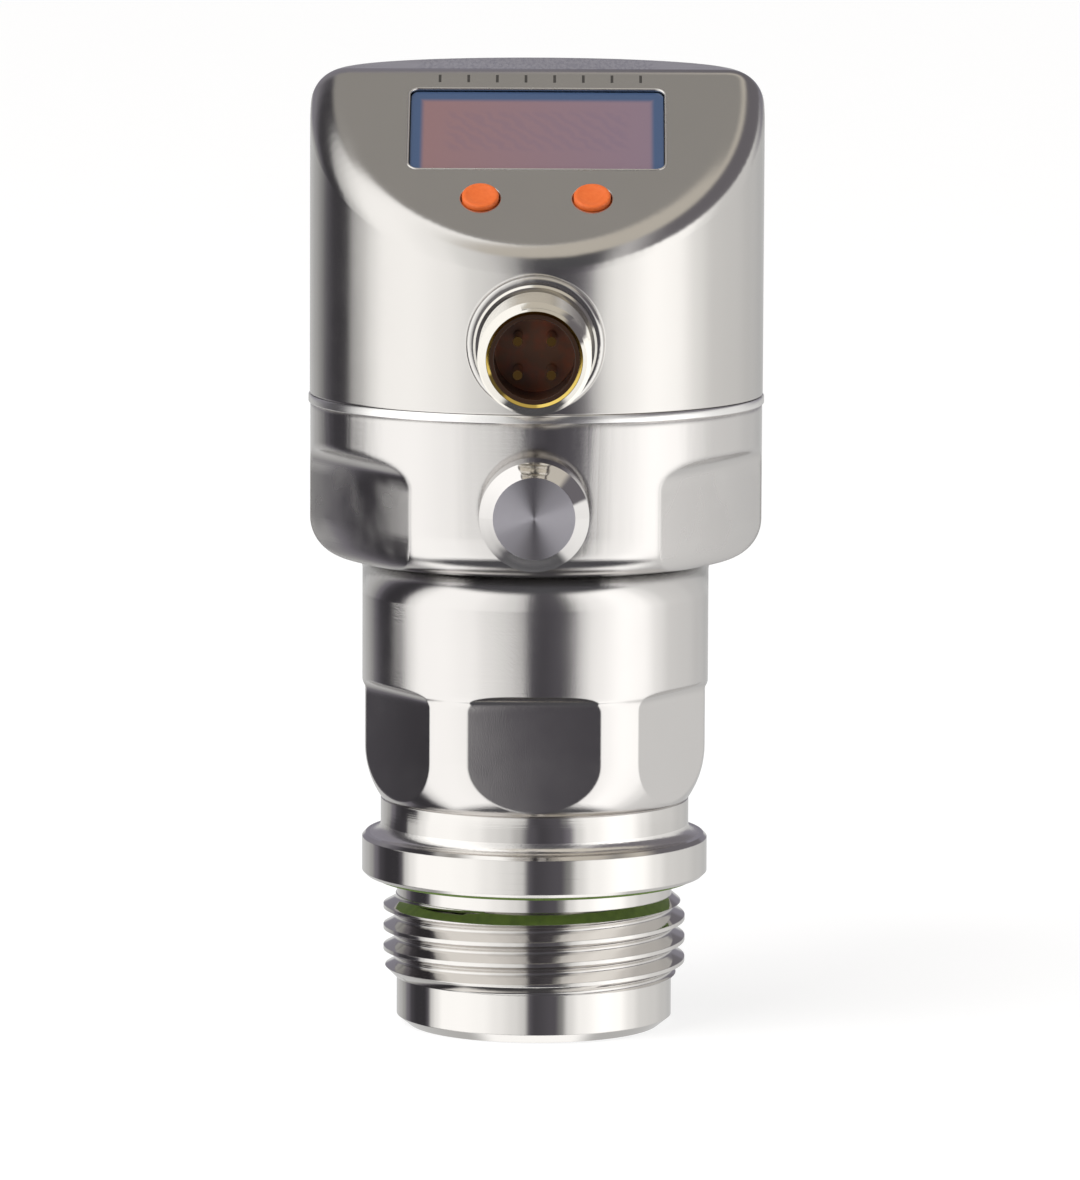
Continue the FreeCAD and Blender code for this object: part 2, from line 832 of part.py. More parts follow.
# Head ring: pressed into the mouth of the housing, its spigot runs in the cup. It has the
# grooves of the O-ring and the snap ring, and the lug that meets the stop pin.
ring = new_body("head_ring")
section = new_sketch(ring, "head_ring_section", "XZ_Plane")
outline(
    section,
    [
        ("head_ring_bore_r", "spigot_low"),
        ("spigot_r", "spigot_low"),
        ("spigot_r", "snap_low - snap_ring_play"),
        ("snap_inner_r - snap_ring_play", "snap_low - snap_ring_play"),
        ("snap_inner_r - snap_ring_play", "snap_high + snap_ring_play"),
        ("spigot_r", "snap_high + snap_ring_play"),
        ("spigot_r", "seal_level - swivel_seal_cord / 2"),
        ("seal_groove_r", "seal_level - swivel_seal_cord / 2"),
        ("seal_groove_r", "seal_level + swivel_seal_cord / 2"),
        ("spigot_r", "seal_level + swivel_seal_cord / 2"),
        ("spigot_r", "head_bottom"),
        ("head_bore_r", "head_bottom"),
        ("head_bore_r", "ring_top"),
        ("head_ring_bore_r", "ring_top"),
    ],
)
revolve(ring, "head_ring_turned", section)
lug = new_sketch(ring, "stop_lug_plan", "XY_Plane", out="spigot_low")
box_outline(
    lug,
    "-stop_lug_width / 2",
    "-spigot_r + stop_lug_inset",
    "stop_lug_width / 2",
    "-spigot_r + stop_lug_inset + stop_lug_depth",
)
pad(ring, "stop_lug", lug, "stop_lug_height", back=True)
notch = new_sketch(
    ring,
    "connector_notch_rim",
    "XZ_Plane",
    up="connector_level",
    out="boss_back - boss_notch_depth",
)
circle(notch, "boss_r + head_ring_notch_clearance")
pocket(ring, "connector_notch", notch, "boss_depth + boss_notch_depth", back=True)

# Square-section seal in the upper groove of the head ring
turned_ring(
    "swivel_seal",
    "seal_groove_r",
    "spigot_r",
    "seal_level - swivel_seal_cord / 2",
    "seal_level + swivel_seal_cord / 2",
)

# Upper housing: drawn cylinder with the inclined face cut across its top, one soft edge
# all round, an even wall, and the boss that carries the connector
upward_axis = FreeCAD.Vector(0, 0, 1)


def domed_blank(body, name, radius, low, top, crease, edge_radius):
    """A cylinder with the inclined face cut from its front and its upper rim rounded."""
    rim = new_sketch(body, name + "_rim", "XY_Plane", out=low, turn=(upward_axis, "90"))
    circle(rim, radius)
    pad(body, name + "_blank", rim, f"({top}) - ({low})")
    side = new_sketch(body, name + "_face_side", "YZ_Plane")
    outline(
        side,
        [
            (crease, top),
            ("-2 * head_r", f"{top} - (2 * head_r + {crease}) * tan(face_slope * 1deg)"),
            ("-2 * head_r", f"{top} + head_wall"),
            (crease, f"{top} + head_wall"),
        ],
    )
    cut = pocket(body, name + "_inclined_face", side, "3 * head_r", both=True)
    base_level = level("head_bottom")

    def rim_edge(edge):
        middle = edge.valueAt((edge.FirstParameter + edge.LastParameter) / 2)
        ends = [vertex.Point.z for vertex in edge.Vertexes]
        across = abs(ends[0] - ends[-1]) < 0.001
        curved = not isinstance(edge.Curve, Part.Line)
        return (curved or across) and middle.z > base_level + 1

    return fillet(body, name + "_edge", cut, edges_where(cut, rim_edge), edge_radius)


core = doc.addObject("PartDesign::Body", "housing_core")
wall_drop = "head_wall / cos(face_slope * 1deg)"
core_crease = f"({wall_drop} - head_wall) / tan(face_slope * 1deg)"
domed_blank(
    core,
    "core",
    "head_bore_r",
    "head_bottom",
    "head_top - head_wall",
    core_crease,
    "head_edge_radius - head_wall",
)
housing = new_body("upper_housing")
domed_blank(
    housing, "housing", "head_r", "head_bottom", "head_top", "0", "head_edge_radius"
)
hollow = housing.newObject("PartDesign::Boolean", "housing_wall")
hollow.Type = "Cut"
hollow.Group = [core]

boss = new_sketch(housing, "boss_section", "YZ_Plane", up="connector_level")
outline(
    boss,
    [
        ("-boss_front", "0"),
        ("-boss_back", "0"),
        ("-boss_back", "boss_r"),
        ("-boss_front + boss_edge_radius", "boss_r"),
        ("-boss_front", "boss_r - boss_edge_radius"),
    ],
    bulges={3: "boss_edge_radius"},
)
revolve(housing, "connector_boss", boss, "H_Axis")
hole = new_sketch(housing, "connector_hole_rim", "XZ_Plane", up="connector_level", out="boss_front")
circle(hole, "boss_hole_r")
pocket(housing, "connector_hole", hole, "boss_depth + head_wall")
opening = face_sketch(housing, "window_opening")
rounded_box(
    opening,
    "-window_width / 2",
    "-window_start - window_length",
    "window_width / 2",
    "-window_start",
    "window_corner_radius",
)
pocket(housing, "window_cut", opening, "head_wall * 1.5")
holes = face_sketch(housing, "button_holes_rim")
for across in ("-button_pitch / 2", "button_pitch / 2"):
    circle(holes, "button_hole / 2", across, "-button_place")
pocket(housing, "button_holes", holes, "head_wall * 1.5")


def face_plate(label, width, start, length, depth, thickness, corner=None):
    """A plate parallel to the inclined face, its lower corners cut where corner is given."""
    body = new_body(label)
    plan = face_sketch(body, label + "_plan", depth)
    left = f"-({width}) / 2"
    right = f"({width}) / 2"
    high = f"-({start})"
    low = f"-({start}) - ({length})"
    if corner:
        outline(
            plan,
            [
                (left, f"{low} + {corner}"),
                (f"{left} + {corner}", low),
                (f"{right} - {corner}", low),
                (right, f"{low} + {corner}"),
                (right, high),
                (left, high),
            ],
        )
    else:
        box_outline(plan, left, low, right, high)
    pad(body, label + "_plate", plan, thickness, back=True)
    return body


# Window: gasket frame under the wall, and the glass, whose pane stands in the opening
glass_width = "window_width + 2 * gasket_width"
glass_start = "window_start - gasket_width"
glass_length = "window_length + 2 * gasket_width"
gasket = face_plate(
    "window_gasket", glass_width, glass_start, glass_length, "head_wall", "gasket_thickness"
)
opening = face_sketch(gasket, "gasket_opening", "head_wall")
box_outline(
    opening,
    "-window_width / 2",
    "-window_start - window_length",
    "window_width / 2",
    "-window_start",
)
pocket(gasket, "gasket_cut", opening, "gasket_thickness")
window = face_plate(
    "display_window", glass_width, glass_start, glass_length, "glass_depth", "glass_thickness"
)
pane = face_sketch(window, "pane_plan", "glass_depth")
rounded_box(
    pane,
    "-window_width / 2 + pane_clearance",
    "-window_start - window_length + pane_clearance",
    "window_width / 2 - pane_clearance",
    "-window_start - pane_clearance",
    "(window_corner_radius - pane_clearance)",
)
pad(window, "pane", pane, "glass_depth - pane_recess")

# Carrier moulded round the display module, with a well under each button
carrier = face_plate(
    "display_carrier",
    "carrier_width",
    "carrier_start",
    "carrier_length",
    "carrier_depth",
    "carrier_thickness",
    "carrier_corner",
)
opening = face_sketch(carrier, "module_opening", "carrier_depth")
box_outline(
    opening,
    "-module_width / 2 - module_clearance",
    "-module_start - module_length - module_clearance",
    "module_width / 2 + module_clearance",
    "-module_start + module_clearance",
)
pocket(carrier, "module_cut", opening, "carrier_thickness")
wells = face_sketch(carrier, "button_wells_rim", "carrier_depth")
for across in ("-button_pitch / 2", "button_pitch / 2"):
    circle(wells, "button_well / 2", across, "-button_place")
pocket(carrier, "button_wells", wells, "carrier_thickness")
face_plate(
    "display_module",
    "module_width",
    "module_start",
    "module_length",
    "board_depth - module_thickness",
    "module_thickness",
)
face_plate(
    "display_board",
    "carrier_width",
    "carrier_start",
    "carrier_length",
    "board_depth",
    "display_board_thickness",
    "carrier_corner",
)

# Two switches on the board, one under each button
switches = new_body("button_switches")
plan = face_sketch(switches, "switch_plan", "board_depth - switch_height")
caps = face_sketch(switches, "switch_plunger_rims", "board_depth - switch_height")
for side in ("-1", "1"):
    middle = f"({side}) * button_pitch / 2"
    box_outline(
        plan,
        f"{middle} - switch_size / 2",
        "-button_place - switch_size / 2",
        f"{middle} + switch_size / 2",
        "-button_place + switch_size / 2",
    )
    circle(caps, "switch_plunger_diameter / 2", middle, "-button_place")
switches.AllowCompound = True
pad(switches, "switch_bodies", plan, "switch_height", back=True)
pad(switches, "switch_plungers", caps, "switch_plunger_height")

# Rubber sleeves in the wells, round the stems of the buttons
sleeves = new_body("button_seals")
sleeves.AllowCompound = True
plan = face_sketch(sleeves, "sleeve_rims", "carrier_depth + button_seal_drop")
for across in ("-button_pitch / 2", "button_pitch / 2"):
    circle(plan, "button_well / 2", across, "-button_place")
    circle(plan, "button_stem / 2 + running_clearance", across, "-button_place")
pad(sleeves, "sleeve_rings", plan, "button_seal_thickness", back=True)

# Buttons: cap through the wall, collar behind it, stem down to the switch
for label, across in (("button_left", "-button_pitch / 2"), ("button_right", "button_pitch / 2")):
    button = new_body(label)
    rim = face_sketch(button, label + "_cap_rim", "-button_proud")
    circle(rim, "button_diameter / 2", across, "-button_place")
    pad(button, label + "_cap", rim, "button_proud + collar_depth", back=True)
    rim = face_sketch(button, label + "_collar_rim", "collar_depth")
    circle(rim, "button_collar / 2", across, "-button_place")
    pad(button, label + "_collar", rim, "button_collar_thickness", back=True)
    rim = face_sketch(button, label + "_stem_rim", "collar_depth + button_collar_thickness")
    circle(rim, "button_stem / 2", across, "-button_place")
    stem_length = "button_stem_end - collar_depth - button_collar_thickness"
    pad(button, label + "_stem", rim, stem_length, back=True)

# Screws from behind hold the display board to its carrier
screw_places = ("-carrier_width / 2 + screw_margin", "carrier_width / 2 - screw_margin")
screws = new_body("display_screws")
screws.AllowCompound = True
shanks = face_sketch(screws, "display_screw_shanks", "board_back")
heads = face_sketch(screws, "display_screw_heads", "board_back")
for across in screw_places:
    circle(shanks, "screw_diameter / 2", across, "-button_place")
    circle(heads, "screw_head_diameter / 2", across, "-button_place")
pad(screws, "display_screw_head_pads", heads, "screw_head_height", back=True)
pad(screws, "display_screw_shank_pads", shanks, "display_board_thickness + screw_length")
display_board = doc.getObject("display_board")
for body, depth in ((carrier, "board_depth - screw_length"), (display_board, "board_depth")):
    holes = face_sketch(body, body.Label + "_screw_holes", depth)
    for across in screw_places:
        circle(holes, "screw_diameter / 2", across, "-button_place")
    pocket(body, body.Label + "_screw_bores", holes, "screw_length")

# Carrier of the main board: a D-shaped plate on the head ring, with two posts
bracket = new_body("board_carrier")
rim = new_sketch(bracket, "plate_rim", "XY_Plane", out="ring_top")
circle(rim, "head_bore_r - plate_clearance")
circle(rim, "lead_diameter / 2 + lead_clearance")
pad(bracket, "plate", rim, "plate_thickness")
front = new_sketch(bracket, "plate_front_plan", "XY_Plane", out="plate_top")
box_outline(front, "-head_r", "-head_r", "head_r", "-plate_front")
pocket(bracket, "plate_front_cut", front, "plate_thickness")
posts = new_sketch(bracket, "post_plan", "XY_Plane", out="plate_top")
for side in ("-1", "1"):
    middle = f"({side}) * post_pitch / 2"
    box_outline(
        posts,
        f"{middle} - post_width / 2",
        "main_board_place - post_depth",
        f"{middle} + post_width / 2",
        "main_board_place",
    )
pad(bracket, "posts", posts, "post_height")
socket = turned_disc("lead_socket", "socket_diameter / 2", "plate_top", "socket_height")
rim = new_sketch(socket, "socket_bore_rim", "XY_Plane", out="plate_top")
circle(rim, "lead_diameter / 2 + lead_clearance")
pocket(socket, "socket_bore_cut", rim, "lead_entry + lead_clearance", back=True)

board = new_body("main_board")
plan = new_sketch(board, "main_board_plan", "XY_Plane", out="plate_top")
box_outline(
    plan,
    "-main_board_width / 2",
    "main_board_place",
    "main_board_width / 2",
    "main_board_place + main_board_thickness",
)
pad(board, "main_board_plate", plan, "main_board_height")

# Two screws fix the main board to its posts
screw_level = "plate_top + post_height - post_screw_drop"
screws = new_body("board_screws")
screws.AllowCompound = True
heads = new_sketch(screws, "board_screw_heads", "XZ_Plane", out="head_face")
shanks = new_sketch(screws, "board_screw_shanks", "XZ_Plane", out="head_face")
for across in ("-post_pitch / 2", "post_pitch / 2"):
    circle(heads, "screw_head_diameter / 2", across, screw_level)
    circle(shanks, "screw_diameter / 2", across, screw_level)
pad(screws, "board_screw_head_pads", heads, "screw_head_height", back=True)
pad(screws, "board_screw_shank_pads", shanks, "main_board_thickness + post_screw_grip")
for body in (board, bracket):
    holes = new_sketch(body, body.Label + "_screw_holes", "XZ_Plane", out="head_face")
    for across in ("-post_pitch / 2", "post_pitch / 2"):
        circle(holes, "screw_diameter / 2", across, screw_level)
    depth = "main_board_thickness + post_screw_grip"
    pocket(body, body.Label + "_screw_bores", holes, depth, back=True)

# Supply block and processor on the back of the main board
chips = new_body("board_components")
chips.AllowCompound = True
plan = new_sketch(chips, "component_plan", "XZ_Plane", up="plate_top", out="head_face")
box_outline(
    plan,
    "-component_gap / 2 - supply_width",
    "component_gap",
    "-component_gap / 2",
    "component_gap + supply_length",
)
box_outline(
    plan,
    "component_gap / 2",
    "component_gap",
    "component_gap / 2 + processor_size",
    "component_gap + processor_size",
)
pad(chips, "components", plan, "component_height", back=True)

# Flat lead from the back of the display board to the front of the main board
ribbon = new_body("display_ribbon")
side = new_sketch(ribbon, "ribbon_side", "YZ_Plane")
start_y = "-ribbon_start * cos(face_slope * 1deg) + board_back * sin(face_slope * 1deg)"
start_z = "head_top - ribbon_start * sin(face_slope * 1deg) - board_back * cos(face_slope * 1deg)"
end_z = "plate_top + main_board_height - ribbon_drop"
outline(
    side,
    [
        (start_y, start_z),
        ("main_board_place", end_z),
        ("main_board_place", f"{end_z} - ribbon_thickness * 2"),
        (
            f"{start_y} - ribbon_thickness * cos(face_slope * 1deg)",
            f"{start_z} - ribbon_thickness * sin(face_slope * 1deg)",
        ),
    ],
)
pad(ribbon, "ribbon_strip", side, "ribbon_width", both=True)

# M12 connector: threaded shell in the boss, moulded insert, seal between them, four pins
side_turned(
    "m12_shell",
    "connector_level",
    [
        ("shell_back", "socket_bore_r"),
        ("shell_back", "shell_neck_r"),
        ("boss_front", "shell_neck_r"),
        ("boss_front", "shell_shoulder_r"),
        ("neck_face", "shell_shoulder_r"),
        ("neck_face", "m12_thread_r"),
        ("m12_end - m12_thread_chamfer", "m12_thread_r"),
        ("m12_end", "m12_thread_r - m12_thread_chamfer"),
        ("m12_end", "socket_bore_r + socket_mouth_bevel"),
        ("m12_end - socket_mouth_bevel", "socket_bore_r"),
    ],
)
side_turned(
    "m12_insert",
    "connector_level",
    [
        ("insert_back", "0"),
        ("insert_back", "insert_tail_diameter / 2"),
        ("shell_back", "insert_tail_diameter / 2"),
        ("shell_back", "socket_bore_r"),
        ("insert_groove_low", "socket_bore_r"),
        ("insert_groove_low", "insert_groove_r"),
        ("insert_groove_high", "insert_groove_r"),
        ("insert_groove_high", "socket_bore_r"),
        ("m12_end - insert_rim_step", "socket_bore_r"),
        ("m12_end - insert_rim_step", "insert_cavity_bore / 2"),
        ("insert_face", "insert_cavity_bore / 2"),
        ("insert_face", "0"),
    ],
)
side_turned(
    "m12_seal",
    "connector_level",
    [
        ("insert_groove_low", "insert_groove_r"),
        ("insert_groove_low", "socket_bore_r"),
        ("insert_groove_high", "socket_bore_r"),
        ("insert_groove_high", "insert_groove_r"),
    ],
)
pins = new_body("contact_pins")
pins.AllowCompound = True
insert = doc.getObject("m12_insert")
rims = new_sketch(
    pins, "contact_rims", "XZ_Plane", up="connector_level", out="insert_back - pin_tail"
)
bores = new_sketch(
    insert, "contact_bore_rims", "XZ_Plane", up="connector_level", out="insert_face"
)
for index in range(SIZES["pin_count"]):
    turn = f"(45 + {index} * 360 / pin_count) * 1deg"
    across = f"pin_circle / 2 * cos({turn})"
    upward = f"pin_circle / 2 * sin({turn})"
    circle(rims, "pin_diameter / 2", across, upward)
    circle(bores, "pin_diameter / 2", across, upward)
pad(pins, "contacts", rims, "m12_end - pin_set_back - insert_back + pin_tail")
pocket(insert, "contact_bores", bores, "insert_face - insert_back")

doc.recompute()

faults = []
for item in doc.Objects:
    if "Invalid" in item.State or "Error" in item.State:
        faults.append(item.Label)
for part in parts:
    if part.Shape.isNull() or not part.Shape.isValid():
        faults.append(part.Label + " shape")
if faults:
    raise RuntimeError("failed: " + ", ".join(faults))

os.makedirs("parts", exist_ok=True)
for part in parts:
    part.Shape.exportStep(f"parts/{part.Label}.step")
    print(part.Label, len(part.Shape.Solids), round(part.Shape.Volume, 1))
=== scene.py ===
import math

import bpy
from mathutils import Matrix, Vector


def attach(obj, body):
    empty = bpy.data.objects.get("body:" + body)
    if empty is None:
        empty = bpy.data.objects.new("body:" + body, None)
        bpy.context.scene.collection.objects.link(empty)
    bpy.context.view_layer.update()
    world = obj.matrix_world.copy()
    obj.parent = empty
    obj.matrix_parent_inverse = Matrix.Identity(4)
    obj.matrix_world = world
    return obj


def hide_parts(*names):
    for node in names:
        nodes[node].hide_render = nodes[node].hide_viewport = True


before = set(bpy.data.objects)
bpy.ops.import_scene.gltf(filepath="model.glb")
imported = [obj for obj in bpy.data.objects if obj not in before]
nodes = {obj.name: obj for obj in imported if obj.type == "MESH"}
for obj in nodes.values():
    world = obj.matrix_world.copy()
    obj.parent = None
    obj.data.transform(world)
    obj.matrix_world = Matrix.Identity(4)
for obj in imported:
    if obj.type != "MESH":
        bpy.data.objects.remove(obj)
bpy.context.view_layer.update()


# Process connection. The turned lower half: flush pilot, G 1 male thread, undercut, sealing
# flange and collar in one piece of 316L stainless steel, bright from the lathe. The thread is
# cut with a single-point tool and runs out into the undercut.
MM = 0.001
PILOT_RADIUS = 15.15 * MM
PILOT_HEIGHT = 5.4 * MM
PILOT_CHAMFER = 1.3 * MM
THREAD_RADIUS = 16.625 * MM
THREAD_CHAMFER = 1.2 * MM
THREAD_TOP = 14.2 * MM
THREAD_PITCH = 2.309 * MM
THREAD_RUN_OUT = 0.9 * MM
THREAD_ROOT = 15.2 * MM
UNDERCUT_RADIUS = 15.15 * MM
CORNER_OUT = 0.35 * MM
CORNER_UP = 0.3 * MM
FLANGE_LOW = 16.7 * MM
FLANGE_HIGH = 21.2 * MM
FLANGE_RADIUS = 19.0 * MM
FLANGE_CHAMFER = 0.4 * MM
COLLAR_RADIUS = 16.95 * MM
COLLAR_TOP = 25.3 * MM
COLLAR_FILLET = 1.2 * MM
GROOVE_RADIUS = 17.7 * MM
GROOVE_DEPTH = 1.2 * MM
LIP_BORE = 9.5 * MM
LIP_HEIGHT = 0.8 * MM
CELL_BORE = 11.3 * MM
EDGE_BREAK = 0.15 * MM
FIRST_TURN = 1.46 * MM


def colour(code):
    """The linear colour of an sRGB hex code."""
    parts = [int(code[place:place + 2], 16) / 255 for place in (0, 2, 4)]
    line = [part / 12.92 if part <= 0.04045 else ((part + 0.055) / 1.055) ** 2.4
            for part in parts]
    return (*line, 1.0)


def add_node(tree, kind, settings=None, inputs=None):
    """A new node with its settings, and its inputs as values or other nodes' sockets."""
    added = tree.nodes.new(kind)
    for name, value in (settings or {}).items():
        setattr(added, name, value)
    for name, value in (inputs or {}).items():
        if isinstance(value, bpy.types.NodeSocket):
            tree.links.new(value, added.inputs[name])
        else:
            added.inputs[name].default_value = value
    return added


def new_material(name):
    """An empty material: its node tree and its shader."""
    material = bpy.data.materials.new(name)
    material.use_nodes = True
    tree = material.node_tree
    shader = tree.nodes["Principled BSDF"]
    return material, tree, shader


def dress(node_name, material):
    """Gives a CAD node this material all over."""
    slots = nodes[node_name].data.materials
    slots.clear()
    slots.append(material)


def let_go():
    """Leaves edit mode and selects nothing."""
    if bpy.context.object and bpy.context.object.mode != "OBJECT":
        bpy.ops.object.mode_set(mode="OBJECT")
    bpy.ops.object.select_all(action="DESELECT")


def take(piece):
    """Selects this piece alone."""
    let_go()
    piece.select_set(True)
    bpy.context.view_layer.objects.active = piece


def apply_modifier(piece, kind, name, **settings):
    """Adds a modifier, sets it and applies it."""
    take(piece)
    modifier = piece.modifiers.new(name, kind)
    for key, value in settings.items():
        setattr(modifier, key, value)
    bpy.ops.object.modifier_apply(modifier=modifier.name)


def outline(name, spots):
    """A closed outline, drawn by extruding one vertex from spot to spot, left in edit mode."""
    let_go()
    bpy.ops.mesh.primitive_plane_add(size=1 * MM)
    piece = bpy.context.object
    piece.name = name
    bpy.ops.object.mode_set(mode="EDIT")
    bpy.ops.mesh.select_all(action="SELECT")
    bpy.ops.mesh.merge(type="CENTER")
    bpy.ops.transform.translate(value=spots[0])
    for last, spot in zip(spots, spots[1:] + spots[:1]):
        bpy.ops.mesh.extrude_vertices_move(TRANSFORM_OT_translate={"value": spot - last})
    bpy.ops.mesh.select_all(action="SELECT")
    bpy.ops.mesh.remove_doubles(threshold=1e-7)
    return piece


def turned(name, profile, centre=(0, 0, 0), axis=(0, 0, 1), steps=160):
    """A piece turned on the lathe: a closed outline of (radius, height) spun about its axis."""
    along = Vector(axis).normalized()
    out = Vector((1, 0, 0)) if abs(along.x) < 0.5 else Vector((0, 1, 0))
    centre = Vector(centre)
    piece = outline(name, [centre + out * radius + along * height for radius, height in profile])
    bpy.ops.mesh.select_all(action="SELECT")
    bpy.ops.mesh.spin(steps=steps, angle=math.tau, center=centre, axis=along)
    bpy.ops.mesh.select_all(action="SELECT")
    bpy.ops.mesh.remove_doubles(threshold=1e-7)
    bpy.ops.mesh.normals_make_consistent(inside=False)
    bpy.ops.object.mode_set(mode="OBJECT")
    return piece


def thread_tool(name, crest, root, pitch, turns, start, angle=55.0):
    """The path of a single-point thread tool: its V with a round nose, screwed about Z.

    The nose is 0.137 of the pitch, as on a Whitworth thread.
    """
    lean = math.radians(angle / 2)
    nose = pitch * 0.137
    outer = crest + 0.1 * MM
    turns_of_nose = [(math.pi / 2 - lean) * step / 3 for step in range(-3, 4)]
    arc = [(root + nose * (1 - math.cos(turn)), start + nose * math.sin(turn))
           for turn in turns_of_nose]
    half = arc[-1][1] - start + (outer - arc[-1][0]) * math.tan(lean)
    section = [(outer, start - half), *arc, (outer, start + half)]
    tool = outline(name, [Vector((radius, 0, height)) for radius, height in section])
    bpy.ops.object.mode_set(mode="OBJECT")
    apply_modifier(tool, "SCREW", "Screw", axis="Z", angle=math.tau, steps=96,
                   render_steps=96, screw_offset=pitch, iterations=turns,
                   use_smooth_shade=False)
    take(tool)
    bpy.ops.object.mode_set(mode="EDIT")
    bpy.ops.mesh.select_mode(type="EDGE")
    bpy.ops.mesh.select_all(action="DESELECT")
    bpy.ops.mesh.select_non_manifold()
    bpy.ops.mesh.fill()
    bpy.ops.mesh.select_mode(type="VERT")
    bpy.ops.mesh.select_all(action="SELECT")
    bpy.ops.mesh.normals_make_consistent(inside=False)
    bpy.ops.object.mode_set(mode="OBJECT")
    return tool


def paint(piece, slot, chosen):
    """Gives the faces that the test picks by their middle this material slot."""
    for face in piece.data.polygons:
        if chosen(face.center):
            face.material_index = slot


def cut(piece, tool):
    """Takes the tool's solid out of the piece, and puts the tool away."""
    apply_modifier(piece, "BOOLEAN", "Cut", operation="DIFFERENCE", solver="EXACT", object=tool)
    bpy.data.objects.remove(tool, do_unlink=True)


def smooth(piece, angle=30.0):
    """Smooth shading, with the edges sharper than this angle left crisp."""
    take(piece)
    bpy.ops.object.shade_smooth_by_angle(angle=math.radians(angle))


connection = turned("thread_and_flange", [
    (LIP_BORE, 0.0),
    (PILOT_RADIUS - PILOT_CHAMFER, 0.0),
    (PILOT_RADIUS, PILOT_CHAMFER * 0.8),
    (PILOT_RADIUS, PILOT_HEIGHT),
    (THREAD_RADIUS - THREAD_CHAMFER, PILOT_HEIGHT),
    (THREAD_RADIUS, PILOT_HEIGHT + THREAD_CHAMFER),
    (THREAD_RADIUS, THREAD_TOP - THREAD_RUN_OUT),
    (UNDERCUT_RADIUS + CORNER_OUT, THREAD_TOP),
    (UNDERCUT_RADIUS, THREAD_TOP + CORNER_UP),
    (UNDERCUT_RADIUS, FLANGE_LOW + GROOVE_DEPTH),
    (GROOVE_RADIUS, FLANGE_LOW + GROOVE_DEPTH),
    (GROOVE_RADIUS, FLANGE_LOW),
    (FLANGE_RADIUS - FLANGE_CHAMFER, FLANGE_LOW),
    (FLANGE_RADIUS, FLANGE_LOW + FLANGE_CHAMFER),
    (FLANGE_RADIUS, FLANGE_HIGH - FLANGE_CHAMFER),
    (FLANGE_RADIUS - FLANGE_CHAMFER, FLANGE_HIGH),
    *[(COLLAR_RADIUS + COLLAR_FILLET * (1 - math.sin(turn)),
       FLANGE_HIGH + COLLAR_FILLET * (1 - math.cos(turn)))
      for turn in [step * math.pi / 16 for step in range(9)]],
    (COLLAR_RADIUS, COLLAR_TOP - EDGE_BREAK),
    (COLLAR_RADIUS - EDGE_BREAK, COLLAR_TOP),
    (CELL_BORE, COLLAR_TOP),
    (CELL_BORE, LIP_HEIGHT),
    (LIP_BORE, LIP_HEIGHT),
])
cut(connection, thread_tool("thread_cutter", THREAD_RADIUS, THREAD_ROOT, THREAD_PITCH,
                            turns=6, start=FIRST_TURN))
smooth(connection)

# Bright-turned 316L: the tool's feed leaves fine rings, 0.12 mm apart, that stretch the
# highlights a little up and down the part and keep them sharp round it.
turned_steel, tree, shader = new_material("bright turned stainless steel")
where = add_node(tree, "ShaderNodeTexCoord")
rings = add_node(tree, "ShaderNodeMapping", inputs={
    "Vector": where.outputs["Object"], "Scale": (40, 40, 8000)})
feed = add_node(tree, "ShaderNodeTexNoise", inputs={
    "Vector": rings.outputs["Vector"], "Scale": 1.0, "Detail": 3.0})
patches = add_node(tree, "ShaderNodeTexNoise", inputs={
    "Vector": where.outputs["Object"], "Scale": 140.0, "Detail": 2.0})
gloss = add_node(tree, "ShaderNodeMapRange", inputs={
    "Value": patches.outputs["Fac"], "To Min": 0.04, "To Max": 0.08})
soft_edge = add_node(tree, "ShaderNodeBevel", settings={"samples": 4}, inputs={
    "Radius": 0.12 * MM})
bump = add_node(tree, "ShaderNodeBump", inputs={
    "Height": feed.outputs["Fac"], "Strength": 0.12, "Distance": 0.02 * MM,
    "Normal": soft_edge.outputs["Normal"]})
shader.inputs["Base Color"].default_value = colour("D6D3CF")
shader.inputs["Metallic"].default_value = 1.0
tree.links.new(gloss.outputs["Result"], shader.inputs["Roughness"])
tree.links.new(bump.outputs["Normal"], shader.inputs["Normal"])
connection.data.materials.append(turned_steel)

# The fillet above the flange is left as the round-nosed tool makes it: bright, and torn in
# marks 0.6 mm long that break up what it mirrors.
rough_steel, tree, shader = new_material("coarsely turned stainless steel")
where = add_node(tree, "ShaderNodeTexCoord")
rings = add_node(tree, "ShaderNodeMapping", inputs={
    "Vector": where.outputs["Object"], "Scale": (1, 1, 3)})
torn = add_node(tree, "ShaderNodeTexNoise", inputs={
    "Vector": rings.outputs["Vector"], "Scale": 1800.0, "Detail": 3.0})
bump = add_node(tree, "ShaderNodeBump", inputs={
    "Height": torn.outputs["Fac"], "Strength": 0.3, "Distance": 0.05 * MM})
shader.inputs["Base Color"].default_value = colour("E9E6E2")
shader.inputs["Metallic"].default_value = 1.0
shader.inputs["Roughness"].default_value = 0.2
tree.links.new(bump.outputs["Normal"], shader.inputs["Normal"])
connection.data.materials.append(rough_steel)
paint(connection, 1, lambda middle:
      FLANGE_HIGH < middle.z < FLANGE_HIGH + COLLAR_FILLET * 1.05
      and math.hypot(middle.x, middle.y) > COLLAR_RADIUS - 0.05 * MM)
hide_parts("process_connection")
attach(connection, "process")


# Flange seal. A ring of green FKM rubber in the groove under the flange. It is moulded, and
# squashed against the process adapter when the transmitter is screwed in.

